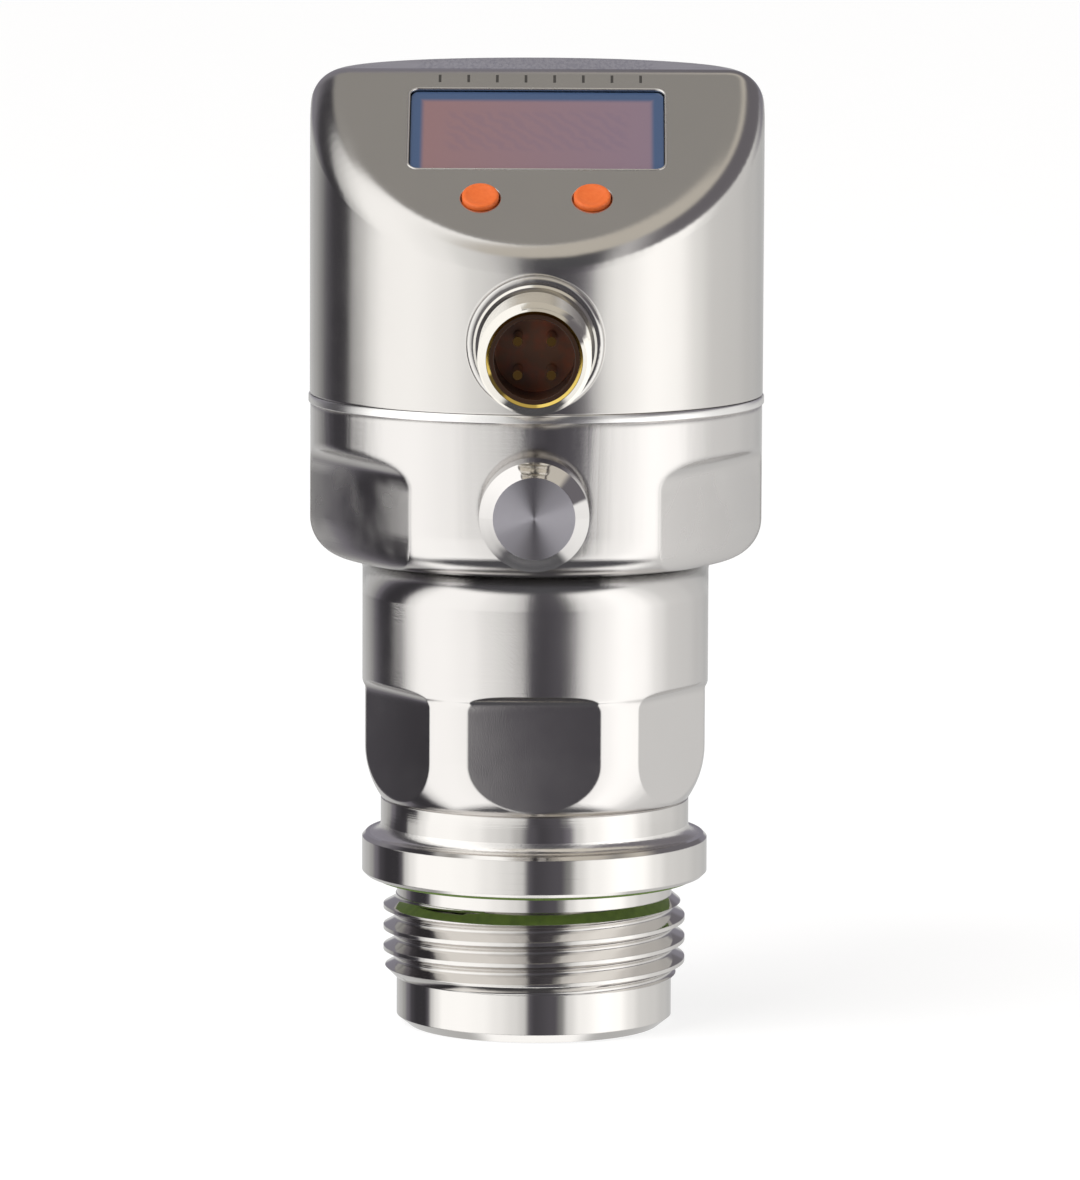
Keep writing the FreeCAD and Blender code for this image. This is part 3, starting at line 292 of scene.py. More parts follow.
def mottled(name, first, second, scale, detail, roughness):
    """A matt finish of two near colours, in clouds of this many to the metre."""
    material, tree, shader = new_material(name)
    where = add_node(tree, "ShaderNodeTexCoord")
    clouds = add_node(tree, "ShaderNodeTexNoise", inputs={
        "Vector": where.outputs["Object"], "Scale": scale, "Detail": detail})
    shade = add_node(tree, "ShaderNodeValToRGB", inputs={"Fac": clouds.outputs["Fac"]})
    shade.color_ramp.elements[0].color = colour(first)
    shade.color_ramp.elements[1].color = colour(second)
    tree.links.new(shade.outputs["Color"], shader.inputs["Base Color"])
    shader.inputs["Roughness"].default_value = roughness
    return material


# Moulded FKM: a strong yellowish green, dusty in spots about 1 mm wide, with a dull shine.
green_rubber = mottled("green moulded rubber", "4F6A26", "7C9A40", 900.0, 4.0, 0.5)
dress("flange_seal", green_rubber)


# Measuring cell and its stack. A round cell of white alumina looks into the process through the
# open lower end. Two rings and a seal clamp it from behind, and its board sends the signal up
# one lead.

def clouded(name, code, scale, detail, bright, dull, metallic=0.0):
    """A finish of one colour, its roughness in clouds of this many to the metre."""
    material, tree, shader = new_material(name)
    where = add_node(tree, "ShaderNodeTexCoord")
    clouds = add_node(tree, "ShaderNodeTexNoise", inputs={
        "Vector": where.outputs["Object"], "Scale": scale, "Detail": detail})
    gloss = add_node(tree, "ShaderNodeMapRange", inputs={
        "Value": clouds.outputs["Fac"], "To Min": bright, "To Max": dull})
    shader.inputs["Base Color"].default_value = colour(code)
    shader.inputs["Metallic"].default_value = metallic
    tree.links.new(gloss.outputs["Result"], shader.inputs["Roughness"])
    return material


# Lapped alumina: warm white with 0.25 mm grain that just shows, and an even half gloss.
ceramic = mottled("lapped alumina ceramic", "DAD7CC", "EFEDE4", 4000.0, 2.0, 0.35)
dress("measuring_cell", ceramic)

# Moulded rubber: near black, with a skin that is greasy here and dusty there.
black_rubber = clouded("black moulded rubber", "1B1B1C", 1200.0, 4.0, 0.45, 0.7)
for name in ("cell_seal", "swivel_seal", "vent_seal", "button_seals", "m12_seal"):
    dress(name, black_rubber)

# Natural PEEK: beige, slightly streaked by machining, with a waxy shine.
pale_plastic = mottled("machined natural PEEK", "B39C78", "C7B28E", 2500.0, 2.0, 0.45)
dress("cell_thrust_ring", pale_plastic)

# Solder mask over glass cloth: deep green with the 0.7 mm weave showing through the gloss.
board_green = mottled("green solder-masked glass fibre board", "0C4A2A", "1A6B3E", 1500.0, 3.0, 0.3)
for name in ("cell_board", "display_board", "main_board"):
    dress(name, board_green)

# Extruded PVC: an even grey with a soft shine.
lead_grey = clouded("grey extruded PVC", "6E7074", 800.0, 2.0, 0.35, 0.5)
dress("signal_lead", lead_grey)

# Machined steel, not polished: grey and bright, its highlights broad.
hidden_steel = clouded("plain machined steel", "C2C0BC", 1500.0, 3.0, 0.22, 0.38, metallic=1.0)
for name in ("cell_clamp_ring", "snap_ring", "stop_pin", "display_screws", "board_screws"):
    dress(name, hidden_steel)


# Sensor body. Neck and cup, turned from one bar of 304 stainless steel, with six spanner flats
# milled on the neck and four on the cup, and then polished, so that it mirrors the studio.
CUP_LOW = 51.9 * MM
CUP_RADIUS = 24.75 * MM
HOLLOW_HEIGHT = 4.0 * MM
HOLLOW_DEPTH = 1.9 * MM


def off_axis(tree, where):
    """Each point's three coordinates, and how far it lies from the Z axis."""
    parts = add_node(tree, "ShaderNodeSeparateXYZ", inputs={"Vector": where.outputs["Object"]})
    level_spot = add_node(tree, "ShaderNodeCombineXYZ", inputs={
        "X": parts.outputs["X"], "Y": parts.outputs["Y"]})
    reach = add_node(tree, "ShaderNodeVectorMath", settings={"operation": "LENGTH"}, inputs={
        0: level_spot.outputs["Vector"]})
    return parts, reach.outputs["Value"]


# Polished 304: a mirror with fine rings of the lathe 0.2 mm apart, slightly cloudy in
# patches of 11 mm, so that reflections are crisp here and soft there.
polished_steel, tree, shader = new_material("polished turned stainless steel")
where = add_node(tree, "ShaderNodeTexCoord")
rings = add_node(tree, "ShaderNodeMapping", inputs={
    "Vector": where.outputs["Object"], "Scale": (30, 30, 5000)})
feed = add_node(tree, "ShaderNodeTexNoise", inputs={
    "Vector": rings.outputs["Vector"], "Scale": 1.0, "Detail": 3.0})
patches = add_node(tree, "ShaderNodeTexNoise", inputs={
    "Vector": where.outputs["Object"], "Scale": 90.0, "Detail": 9.0, "Roughness": 0.72})
polish = add_node(tree, "ShaderNodeMapRange", inputs={
    "Value": patches.outputs["Fac"], "From Min": 0.3, "From Max": 0.7,
    "To Min": 0.08, "To Max": 0.17})

# The wheel rounds the milled flats a little, those of the cup the most: the height falls
# with the distance from the axis, which is the same all round a turned wall.
parts, reach = off_axis(tree, where)
facing = add_node(tree, "ShaderNodeNewGeometry")
tilt = add_node(tree, "ShaderNodeSeparateXYZ", inputs={"Vector": facing.outputs["True Normal"]})
tilt_size = add_node(tree, "ShaderNodeMath", settings={"operation": "ABSOLUTE"}, inputs={
    0: tilt.outputs["Z"]})
upright = add_node(tree, "ShaderNodeMapRange", inputs={
    "Value": tilt_size.outputs[0], "From Min": 0.5, "From Max": 0.25})
on_cup = add_node(tree, "ShaderNodeMapRange", inputs={
    "Value": parts.outputs["Z"], "From Min": CUP_LOW - 1 * MM, "From Max": CUP_LOW,
    "To Min": 0.2})
rounding = add_node(tree, "ShaderNodeMapRange", inputs={
    "Value": parts.outputs["Z"], "From Min": CUP_LOW - 5 * MM, "From Max": CUP_LOW - 1 * MM,
    "To Min": 0.3 * MM, "To Max": 1.0 * MM})
soft_edge = add_node(tree, "ShaderNodeBevel", settings={"samples": 6}, inputs={
    "Radius": rounding.outputs["Result"]})
wheel = add_node(tree, "ShaderNodeMath", settings={"operation": "MULTIPLY"}, inputs={
    0: upright.outputs["Result"], 1: on_cup.outputs["Result"]})

# The wheel reaches the flats of the cup less than the rest, and they stay duller, in clouds.
flat_depth = add_node(tree, "ShaderNodeMapRange", inputs={
    "Value": reach, "From Min": CUP_RADIUS - 0.1 * MM, "From Max": CUP_RADIUS - 0.55 * MM})
on_flat = add_node(tree, "ShaderNodeMath", settings={"operation": "MULTIPLY"}, inputs={
    0: flat_depth.outputs["Result"], 1: wheel.outputs[0]})
clouds = add_node(tree, "ShaderNodeTexNoise", inputs={
    "Vector": where.outputs["Object"], "Scale": 140.0, "Detail": 2.0})
dull = add_node(tree, "ShaderNodeMapRange", inputs={
    "Value": clouds.outputs["Fac"], "From Min": 0.35, "From Max": 0.65,
    "To Min": 0.11, "To Max": 0.33})
gloss = add_node(tree, "ShaderNodeMix", settings={"data_type": "FLOAT"}, inputs={
    "Factor": on_flat.outputs[0], "A": polish.outputs["Result"], "B": dull.outputs["Result"]})
pillow = add_node(tree, "ShaderNodeBump", settings={"invert": True}, inputs={
    "Height": reach, "Strength": wheel.outputs[0], "Distance": 0.38,
    "Normal": soft_edge.outputs["Normal"]})

# The wheel also hollows the neck under the cup, so that it turns its light down there.
hollow = add_node(tree, "ShaderNodeMapRange", inputs={
    "Value": parts.outputs["Z"], "From Min": CUP_LOW - HOLLOW_HEIGHT, "From Max": CUP_LOW})
hollow_line = add_node(tree, "ShaderNodeMath", settings={"operation": "POWER"}, inputs={
    0: hollow.outputs["Result"], 1: 2.0})
waist = add_node(tree, "ShaderNodeBump", inputs={
    "Height": hollow_line.outputs[0], "Strength": 1.0, "Distance": HOLLOW_DEPTH,
    "Normal": pillow.outputs["Normal"]})

# Its grit leaves a haze of marks, drawn 0.15 mm wide so that they show.
grit = add_node(tree, "ShaderNodeTexNoise", inputs={
    "Vector": where.outputs["Object"], "Scale": 6500.0, "Detail": 1.0})
scratched = add_node(tree, "ShaderNodeBump", inputs={
    "Height": grit.outputs["Fac"], "Strength": 0.16, "Distance": 0.02 * MM,
    "Normal": waist.outputs["Normal"]})
bump = add_node(tree, "ShaderNodeBump", inputs={
    "Height": feed.outputs["Fac"], "Strength": 0.08, "Distance": 0.02 * MM,
    "Normal": scratched.outputs["Normal"]})
shader.inputs["Base Color"].default_value = colour("D2CFCC")
shader.inputs["Metallic"].default_value = 1.0
tree.links.new(gloss.outputs["Result"], shader.inputs["Roughness"])
tree.links.new(bump.outputs["Normal"], shader.inputs["Normal"])
dress("sensor_body", polished_steel)
dress("vent_sleeve", polished_steel)
dress("head_ring", polished_steel)


# Slide ring in the seam. A thin ring of bright stainless steel that closes the seam where the
# head turns. It stands 0.2 mm proud of both halves, with broken edges, and catches a line of
# light.
CUP_BORE = 21.2 * MM
SEAM_LOW = 68.9 * MM
SEAM_HIGH = 69.8 * MM
RING_PROUD = 0.2 * MM
LOWER_BREAK = 0.06 * MM
UPPER_BREAK_IN = 0.1 * MM
UPPER_BREAK_DOWN = 0.16 * MM
seam_ring = turned("seam_ring", [
    (CUP_BORE, SEAM_LOW),
    (CUP_RADIUS + RING_PROUD - LOWER_BREAK, SEAM_LOW),
    (CUP_RADIUS + RING_PROUD, SEAM_LOW + LOWER_BREAK),
    (CUP_RADIUS + RING_PROUD, SEAM_HIGH - UPPER_BREAK_DOWN),
    (CUP_RADIUS + RING_PROUD - UPPER_BREAK_IN, SEAM_HIGH),
    (CUP_BORE, SEAM_HIGH),
], steps=192)
smooth(seam_ring, 35)

# Fine-turned, and painted paler than the halves as a painted highlight, so that the seam reads as
# one thin light line.
ring_steel_painted_highlight = clouded("fine-turned stainless steel with painted highlight", "F4F2EF", 200.0, 2.0, 0.18, 0.28,
                      metallic=1.0)
seam_ring.data.materials.append(ring_steel_painted_highlight)
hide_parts("slide_ring")
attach(seam_ring, "process")


# Vent. A turned cap screwed on the vent sleeve, with a membrane behind it. Its face is turned
# in one pass from the edge to the middle, and the tool's rings show as a fan of light.
VENT_CAP_END = 35.0 * MM
VENT_HEIGHT = 59.9 * MM

# Faced steel: the tool's rings, drawn 0.14 mm apart so that they show, pull each highlight
# into a ray from the middle. The bevel round the face is bright and plain, and the face is painted
# darker and a little violet as painted shade.
vent_steel, tree, shader = new_material("faced stainless steel")
where = add_node(tree, "ShaderNodeTexCoord")
parts = add_node(tree, "ShaderNodeSeparateXYZ", inputs={"Vector": where.outputs["Object"]})
faced = add_node(tree, "ShaderNodeMath", settings={"operation": "LESS_THAN"}, inputs={
    0: parts.outputs["Y"], 1: -VENT_CAP_END + 0.02 * MM})
middle = add_node(tree, "ShaderNodeMapping", inputs={
    "Vector": where.outputs["Object"], "Location": (0, 0, -VENT_HEIGHT)})
tracks = add_node(tree, "ShaderNodeTexWave", settings={
    "wave_type": "RINGS", "rings_direction": "Y"}, inputs={
    "Vector": middle.outputs["Vector"], "Scale": 2200.0, "Distortion": 1.5})
patches = add_node(tree, "ShaderNodeTexNoise", inputs={
    "Vector": where.outputs["Object"], "Scale": 500.0, "Detail": 3.0})
rings = add_node(tree, "ShaderNodeMath", settings={"operation": "MULTIPLY"}, inputs={
    0: tracks.outputs["Fac"], 1: faced.outputs[0]})
bump = add_node(tree, "ShaderNodeBump", inputs={
    "Height": rings.outputs[0], "Strength": 0.08, "Distance": 0.02 * MM})
dull = add_node(tree, "ShaderNodeMapRange", inputs={
    "Value": patches.outputs["Fac"], "To Min": 0.38, "To Max": 0.44})
gloss = add_node(tree, "ShaderNodeMix", settings={"data_type": "FLOAT"}, inputs={
    "Factor": faced.outputs[0], "B": dull.outputs["Result"]})
gloss.inputs["A"].default_value = 0.07
round_axis = add_node(tree, "ShaderNodeTangent", settings={
    "direction_type": "RADIAL", "axis": "Y"})
# The face's darker violet-grey is painted shade, and the bevel keeps the plain steel colour.
tint = add_node(tree, "ShaderNodeMix", settings={"data_type": "RGBA"}, inputs={
    "Factor": faced.outputs[0]})
tint.inputs["A"].default_value = colour("DAD7D4")
tint.inputs["B"].default_value = colour("BDBAC0")
tree.links.new(tint.outputs["Result"], shader.inputs["Base Color"])
shader.inputs["Metallic"].default_value = 1.0
tree.links.new(gloss.outputs["Result"], shader.inputs["Roughness"])
tree.links.new(faced.outputs[0], shader.inputs["Anisotropic"])
shader.inputs["Anisotropic Rotation"].default_value = 0.25
tree.links.new(round_axis.outputs["Tangent"], shader.inputs["Tangent"])
tree.links.new(bump.outputs["Normal"], shader.inputs["Normal"])
dress("vent_cap", vent_steel)

# Porous PTFE: chalk white, quite without shine.
membrane_white, tree, shader = new_material("white porous PTFE")
where = add_node(tree, "ShaderNodeTexCoord")
pores = add_node(tree, "ShaderNodeTexNoise", inputs={
    "Vector": where.outputs["Object"], "Scale": 6000.0, "Detail": 4.0})
bump = add_node(tree, "ShaderNodeBump", inputs={
    "Height": pores.outputs["Fac"], "Strength": 0.2, "Distance": 0.02 * MM})
shader.inputs["Base Color"].default_value = colour("E8E8E6")
shader.inputs["Roughness"].default_value = 0.8
tree.links.new(bump.outputs["Normal"], shader.inputs["Normal"])
dress("vent_membrane", membrane_white)


# Upper housing. The head's shell: a drawn and machined can of stainless steel with a sloped
# face and a round boss for the connector. Its outside is ground to a satin finish.
SLOPE = math.radians(36.4)
DOWN = Vector((0, -math.cos(SLOPE), -math.sin(SLOPE)))
OUT = Vector((0, -math.sin(SLOPE), math.cos(SLOPE)))
CREST = Vector((0, 0, 105.2 * MM))
ETCHED_HALF = 13.5 * MM
EDGE_FROM = 20.5 * MM
EDGE_FULL = 22.0 * MM

# Satin: ground rings 0.25 mm apart and 11 mm patches blur what it mirrors a little.
satin_steel, tree, shader = new_material("satin ground stainless steel")
where = add_node(tree, "ShaderNodeTexCoord")
rings = add_node(tree, "ShaderNodeMapping", inputs={
    "Vector": where.outputs["Object"], "Scale": (60, 60, 4000)})
lines = add_node(tree, "ShaderNodeTexNoise", inputs={
    "Vector": rings.outputs["Vector"], "Scale": 1.0, "Detail": 4.0})
patches = add_node(tree, "ShaderNodeTexNoise", inputs={
    "Vector": where.outputs["Object"], "Scale": 90.0, "Detail": 8.0, "Roughness": 0.7})
gloss = add_node(tree, "ShaderNodeMapRange", inputs={
    "Value": patches.outputs["Fac"], "From Min": 0.3, "From Max": 0.7,
    "To Min": 0.13, "To Max": 0.2})

# The belt rounds the long curved edge of the sloped face more than the other edges.
from_crest = add_node(tree, "ShaderNodeVectorMath", settings={"operation": "SUBTRACT"}, inputs={
    0: where.outputs["Object"], 1: CREST})
below_face = add_node(tree, "ShaderNodeVectorMath", settings={"operation": "DOT_PRODUCT"}, inputs={
    0: from_crest.outputs["Vector"], 1: -OUT})
near_face = add_node(tree, "ShaderNodeMapRange", inputs={
    "Value": below_face.outputs["Value"], "From Min": 2.0 * MM, "From Max": 1.0 * MM})
parts, reach = off_axis(tree, where)
near_wall = add_node(tree, "ShaderNodeMapRange", inputs={
    "Value": reach, "From Min": EDGE_FROM, "From Max": EDGE_FULL})
on_edge = add_node(tree, "ShaderNodeMath", settings={"operation": "MULTIPLY"}, inputs={
    0: near_face.outputs["Result"], 1: near_wall.outputs["Result"]})
rounding = add_node(tree, "ShaderNodeMapRange", inputs={
    "Value": on_edge.outputs[0], "To Min": 0.25 * MM, "To Max": 0.8 * MM})
soft_edge = add_node(tree, "ShaderNodeBevel", settings={"samples": 8}, inputs={
    "Radius": rounding.outputs["Result"]})
bump = add_node(tree, "ShaderNodeBump", inputs={
    "Height": lines.outputs["Fac"], "Strength": 0.1, "Distance": 0.02 * MM,
    "Normal": soft_edge.outputs["Normal"]})

# A laser-etched field lies across the flat top: dull strokes 0.4 mm apart and 5 mm long,
# with nothing to read.
off_middle = add_node(tree, "ShaderNodeMath", settings={"operation": "ABSOLUTE"}, inputs={
    0: parts.outputs["X"]})
field = add_node(tree, "ShaderNodeMapRange", inputs={
    "Value": off_middle.outputs[0], "From Min": ETCHED_HALF, "From Max": ETCHED_HALF - 1 * MM})
facing = add_node(tree, "ShaderNodeNewGeometry")
tilt = add_node(tree, "ShaderNodeSeparateXYZ", inputs={"Vector": facing.outputs["True Normal"]})
flat_top = add_node(tree, "ShaderNodeMath", settings={"operation": "GREATER_THAN"}, inputs={
    0: tilt.outputs["Z"], 1: 0.99})
strokes = add_node(tree, "ShaderNodeMapping", inputs={
    "Vector": where.outputs["Object"], "Scale": (2600, 210, 1)})
etched = add_node(tree, "ShaderNodeTexNoise", inputs={
    "Vector": strokes.outputs["Vector"], "Scale": 1.0, "Detail": 2.0})
stroke = add_node(tree, "ShaderNodeMapRange", inputs={
    "Value": etched.outputs["Fac"], "From Min": 0.42, "From Max": 0.62})
on_top = add_node(tree, "ShaderNodeMath", settings={"operation": "MULTIPLY"}, inputs={
    0: field.outputs["Result"], 1: flat_top.outputs[0]})
mark = add_node(tree, "ShaderNodeMath", settings={"operation": "MULTIPLY"}, inputs={
    0: on_top.outputs[0], 1: stroke.outputs["Result"]})
tint = add_node(tree, "ShaderNodeMix", settings={"data_type": "RGBA"}, inputs={
    "Factor": mark.outputs[0]})
tint.inputs["A"].default_value = colour("CFCCC8")
tint.inputs["B"].default_value = colour("A09DA2")
tree.links.new(tint.outputs["Result"], shader.inputs["Base Color"])
shader.inputs["Metallic"].default_value = 1.0
tree.links.new(gloss.outputs["Result"], shader.inputs["Roughness"])
tree.links.new(bump.outputs["Normal"], shader.inputs["Normal"])
dress("upper_housing", satin_steel)


# Scale marks. Eight short lines burnt into the top of the sloped face with a laser, one for
# each unit or state lamp of the display. They have no depth that a finger would feel.
MARK_COUNT = 8
MARK_PITCH = 3.12 * MM
MARK_LENGTH = 1.25 * MM
MARK_WIDTH = 0.3 * MM
MARK_THICKNESS = 0.02 * MM
MARK_PLACE = 1.6 * MM
MARK_SHIFT = 0.3 * MM

let_go()
bpy.ops.mesh.primitive_cube_add(size=1 * MM)
marks = bpy.context.object
marks.name = "scale_marks"
bpy.ops.object.mode_set(mode="EDIT")
bpy.ops.mesh.select_all(action="SELECT")
bpy.ops.transform.resize(value=(
    MARK_WIDTH / MM, MARK_LENGTH / MM, MARK_THICKNESS / MM), center_override=(0, 0, 0))
bpy.ops.mesh.bevel(offset=0.004 * MM, segments=1)
bpy.ops.mesh.select_all(action="SELECT")
bpy.ops.transform.rotate(value=-SLOPE, orient_axis="X", center_override=(0, 0, 0))
first_mark = (CREST + DOWN * MARK_PLACE
              - Vector(((MARK_COUNT - 1) / 2 * MARK_PITCH - MARK_SHIFT, 0, 0)))
bpy.ops.transform.translate(value=first_mark)
bpy.ops.object.mode_set(mode="OBJECT")
apply_modifier(marks, "ARRAY", "Row", count=MARK_COUNT, use_relative_offset=False,
               use_constant_offset=True, constant_offset_displace=(MARK_PITCH, 0, 0))

# Burnt oxide: dark brownish grey, uneven in 0.2 mm spots, without shine.
burnt = mottled("laser-burnt steel oxide", "2A2826", "4A4744", 5000.0, 3.0, 0.6)
marks.data.materials.append(burnt)
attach(marks, "head")


# Display. A filter window behind an opening in the sloped face, on a thin gasket, with the
# digits' module behind it. The filter is smoky violet and its printed border is blue.

# Foam: black and dull, and open-pored at 0.3 mm.
gasket_black = clouded("black die-cut foam", "121214", 3000.0, 4.0, 0.6, 0.9)
dress("window_gasket", gasket_black)

# The edge of the opening is finished by burnishing to a fine bead, against chipping, and is painted
# bright as a painted highlight.
WINDOW_WIDTH = 27.6 * MM
WINDOW_LENGTH = 13.2 * MM
WINDOW_MIDDLE = 9.95 * MM
WINDOW_CORNER = 1.0 * MM
BEAD_RADIUS = 0.13 * MM
BEAD_SUNK = 0.05 * MM
let_go()
bpy.ops.mesh.primitive_plane_add(size=1)
window_bead = bpy.context.object
window_bead.name = "window_bead"
bpy.ops.object.mode_set(mode="EDIT")
bpy.ops.mesh.select_all(action="SELECT")
bpy.ops.transform.resize(value=(
    WINDOW_WIDTH + 2 * BEAD_RADIUS, WINDOW_LENGTH + 2 * BEAD_RADIUS, 1), center_override=(0, 0, 0))
bpy.ops.mesh.bevel(offset=WINDOW_CORNER + BEAD_RADIUS, segments=10, affect="VERTICES")
bpy.ops.mesh.select_all(action="SELECT")
bpy.ops.mesh.delete(type="ONLY_FACE")
bpy.ops.mesh.select_all(action="SELECT")
bpy.ops.transform.rotate(value=-SLOPE, orient_axis="X", center_override=(0, 0, 0))
bpy.ops.transform.translate(value=CREST + DOWN * WINDOW_MIDDLE - OUT * BEAD_SUNK)
bpy.ops.object.mode_set(mode="OBJECT")
bpy.ops.object.convert(target="CURVE")
window_bead = bpy.context.object
window_bead.data.bevel_depth = BEAD_RADIUS
window_bead.data.bevel_resolution = 3
bpy.ops.object.convert(target="MESH")
window_bead = bpy.context.object
smooth(window_bead, 60)

# Burnished: pressed smooth, and painted pale as a painted highlight, so that the round bead draws a
# thin light line.
bead_steel_painted_highlight = clouded("burnished stainless steel", "E6E3DF", 400.0, 2.0, 0.22, 0.34, metallic=1.0)
window_bead.data.materials.append(bead_steel_painted_highlight)
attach(window_bead, "head")

# Printed filter: smoky violet inside, a blue printed border, and a coat that shines.
BORDER = 1.1 * MM
DIGITS_HALF = 10.5 * MM
DIGITS_RISE = 3.8 * MM
filter_glass, tree, shader = new_material("printed filter glass")
where = add_node(tree, "ShaderNodeTexCoord")
flat = add_node(tree, "ShaderNodeMapping", settings={"vector_type": "TEXTURE"}, inputs={
    "Vector": where.outputs["Object"], "Location": CREST + DOWN * WINDOW_MIDDLE,
    "Rotation": (SLOPE, 0, 0)})
parts = add_node(tree, "ShaderNodeSeparateXYZ", inputs={"Vector": flat.outputs["Vector"]})
across = add_node(tree, "ShaderNodeMath", settings={"operation": "ABSOLUTE"}, inputs={
    0: parts.outputs["X"]})
side = add_node(tree, "ShaderNodeMapRange", settings={"interpolation_type": "SMOOTHSTEP"}, inputs={
    "Value": across.outputs[0], "From Min": WINDOW_WIDTH / 2 - BORDER - 0.6 * MM,
    "From Max": WINDOW_WIDTH / 2 - BORDER + 0.1 * MM})
end = add_node(tree, "ShaderNodeMapRange", settings={"interpolation_type": "SMOOTHSTEP"}, inputs={
    "Value": parts.outputs["Y"], "From Min": WINDOW_LENGTH / 2 - BORDER * 1.2 - 0.6 * MM,
    "From Max": WINDOW_LENGTH / 2 - BORDER * 1.2 + 0.2 * MM})
border = add_node(tree, "ShaderNodeMath", settings={"operation": "MAXIMUM"}, inputs={
    0: side.outputs["Result"], 1: end.outputs["Result"]})
leaning = add_node(tree, "ShaderNodeMapRange", inputs={
    "Value": parts.outputs["X"], "From Min": -WINDOW_WIDTH / 2, "From Max": WINDOW_WIDTH / 2})
violet = add_node(tree, "ShaderNodeValToRGB", inputs={"Fac": leaning.outputs["Result"]})
violet.color_ramp.elements[0].color = colour("8D6C6D")
violet.color_ramp.elements[1].color = colour("84707F")

# The unlit digits' module shows through the filter as faint slanted bars 1.9 mm apart.
digits = add_node(tree, "ShaderNodeTexWave", settings={"bands_direction": "DIAGONAL"}, inputs={
    "Vector": flat.outputs["Vector"], "Scale": 330.0, "Distortion": 5.0, "Detail": 2.0,
    "Detail Scale": 2.0})
field = add_node(tree, "ShaderNodeMapRange", settings={"interpolation_type": "SMOOTHSTEP"}, inputs={
    "Value": across.outputs[0], "From Min": DIGITS_HALF, "From Max": DIGITS_HALF - 1.5 * MM,
    "To Min": 0.0, "To Max": 0.14})
up_field = add_node(tree, "ShaderNodeMath", settings={"operation": "ABSOLUTE"}, inputs={
    0: parts.outputs["Y"]})
row = add_node(tree, "ShaderNodeMapRange", settings={"interpolation_type": "SMOOTHSTEP"}, inputs={
    "Value": up_field.outputs[0], "From Min": DIGITS_RISE, "From Max": DIGITS_RISE - 1.2 * MM})
faint = add_node(tree, "ShaderNodeMath", settings={"operation": "MULTIPLY"}, inputs={
    0: field.outputs["Result"], 1: row.outputs["Result"]})
shown_digits = add_node(tree, "ShaderNodeMath", settings={"operation": "MULTIPLY"}, inputs={
    0: faint.outputs[0], 1: digits.outputs["Fac"]})
behind = add_node(tree, "ShaderNodeMix", settings={"data_type": "RGBA"}, inputs={
    "Factor": shown_digits.outputs[0]})
tree.links.new(violet.outputs["Color"], behind.inputs["A"])
behind.inputs["B"].default_value = colour("5D5876")
print_mix = add_node(tree, "ShaderNodeMix", settings={"data_type": "RGBA"}, inputs={
    "Factor": border.outputs[0]})
tree.links.new(behind.outputs["Result"], print_mix.inputs["A"])
print_mix.inputs["B"].default_value = colour("3F5578")
tree.links.new(print_mix.outputs["Result"], shader.inputs["Base Color"])
shader.inputs["Roughness"].default_value = 0.25
shader.inputs["Coat Weight"].default_value = 0.5
shader.inputs["Coat Roughness"].default_value = 0.03
dress("display_window", filter_glass)

# Glass-filled nylon: black, greyed a little by the fibres at the skin, half matt.
carrier_black = clouded("black glass-filled nylon", "1E1E20", 2000.0, 3.0, 0.4, 0.6)
for name in ("display_carrier", "display_module", "board_carrier", "lead_socket",
             "button_switches", "board_components"):
    dress(name, carrier_black)

# Polyimide film over copper tracks 1 mm apart: amber, striped along its length, glossy.
ribbon_amber, tree, shader = new_material("amber polyimide film")
where = add_node(tree, "ShaderNodeTexCoord")
tracks = add_node(tree, "ShaderNodeTexWave", settings={"bands_direction": "X"}, inputs={
    "Vector": where.outputs["Object"], "Scale": 300.0})
shade = add_node(tree, "ShaderNodeValToRGB", inputs={"Fac": tracks.outputs["Fac"]})
shade.color_ramp.elements[0].color = colour("7A4A12")
shade.color_ramp.elements[1].color = colour("B97A2C")
tree.links.new(shade.outputs["Color"], shader.inputs["Base Color"])
shader.inputs["Roughness"].default_value = 0.3
dress("display_ribbon", ribbon_amber)


# Buttons. Two round push buttons of orange thermoplastic rubber, moulded with a shallow dish
# for the fingertip. Each slides in a hole of the sloped face and presses a switch behind it.
BUTTON_PITCH = 12.0 * MM
BUTTON_PLACE = 21.45 * MM
BUTTON_RADIUS = 2.0 * MM
BUTTON_PROUD = 0.5 * MM
COLLAR_WIDE = 2.6 * MM
COLLAR_FACE = -1.6 * MM
COLLAR_BACK = -2.2 * MM
STEM_RADIUS = 1.0 * MM
STEM_END = -5.5 * MM
# The rim and its dish: how far in from the edge and how far down from the top, in mm.
DISH = [(0, 0.22), (0.06, 0.08), (0.2, 0), (0.42, 0.01), (0.62, 0.09), (1.1, 0.15)]
DISH_DEPTH = 0.18 * MM

# Moulded rubber: a full orange with a fine 0.4 mm grain and a soft shine on the rim.
orange_rubber, tree, shader = new_material("orange moulded rubber")
where = add_node(tree, "ShaderNodeTexCoord")
grain = add_node(tree, "ShaderNodeTexNoise", inputs={
    "Vector": where.outputs["Object"], "Scale": 2600.0, "Detail": 3.0})
shade = add_node(tree, "ShaderNodeValToRGB", inputs={"Fac": grain.outputs["Fac"]})
shade.color_ramp.elements[0].color = colour("E2601F")
shade.color_ramp.elements[1].color = colour("F07A38")
bump = add_node(tree, "ShaderNodeBump", inputs={
    "Height": grain.outputs["Fac"], "Strength": 0.1, "Distance": 0.03 * MM})
tree.links.new(shade.outputs["Color"], shader.inputs["Base Color"])
shader.inputs["Roughness"].default_value = 0.42
tree.links.new(bump.outputs["Normal"], shader.inputs["Normal"])
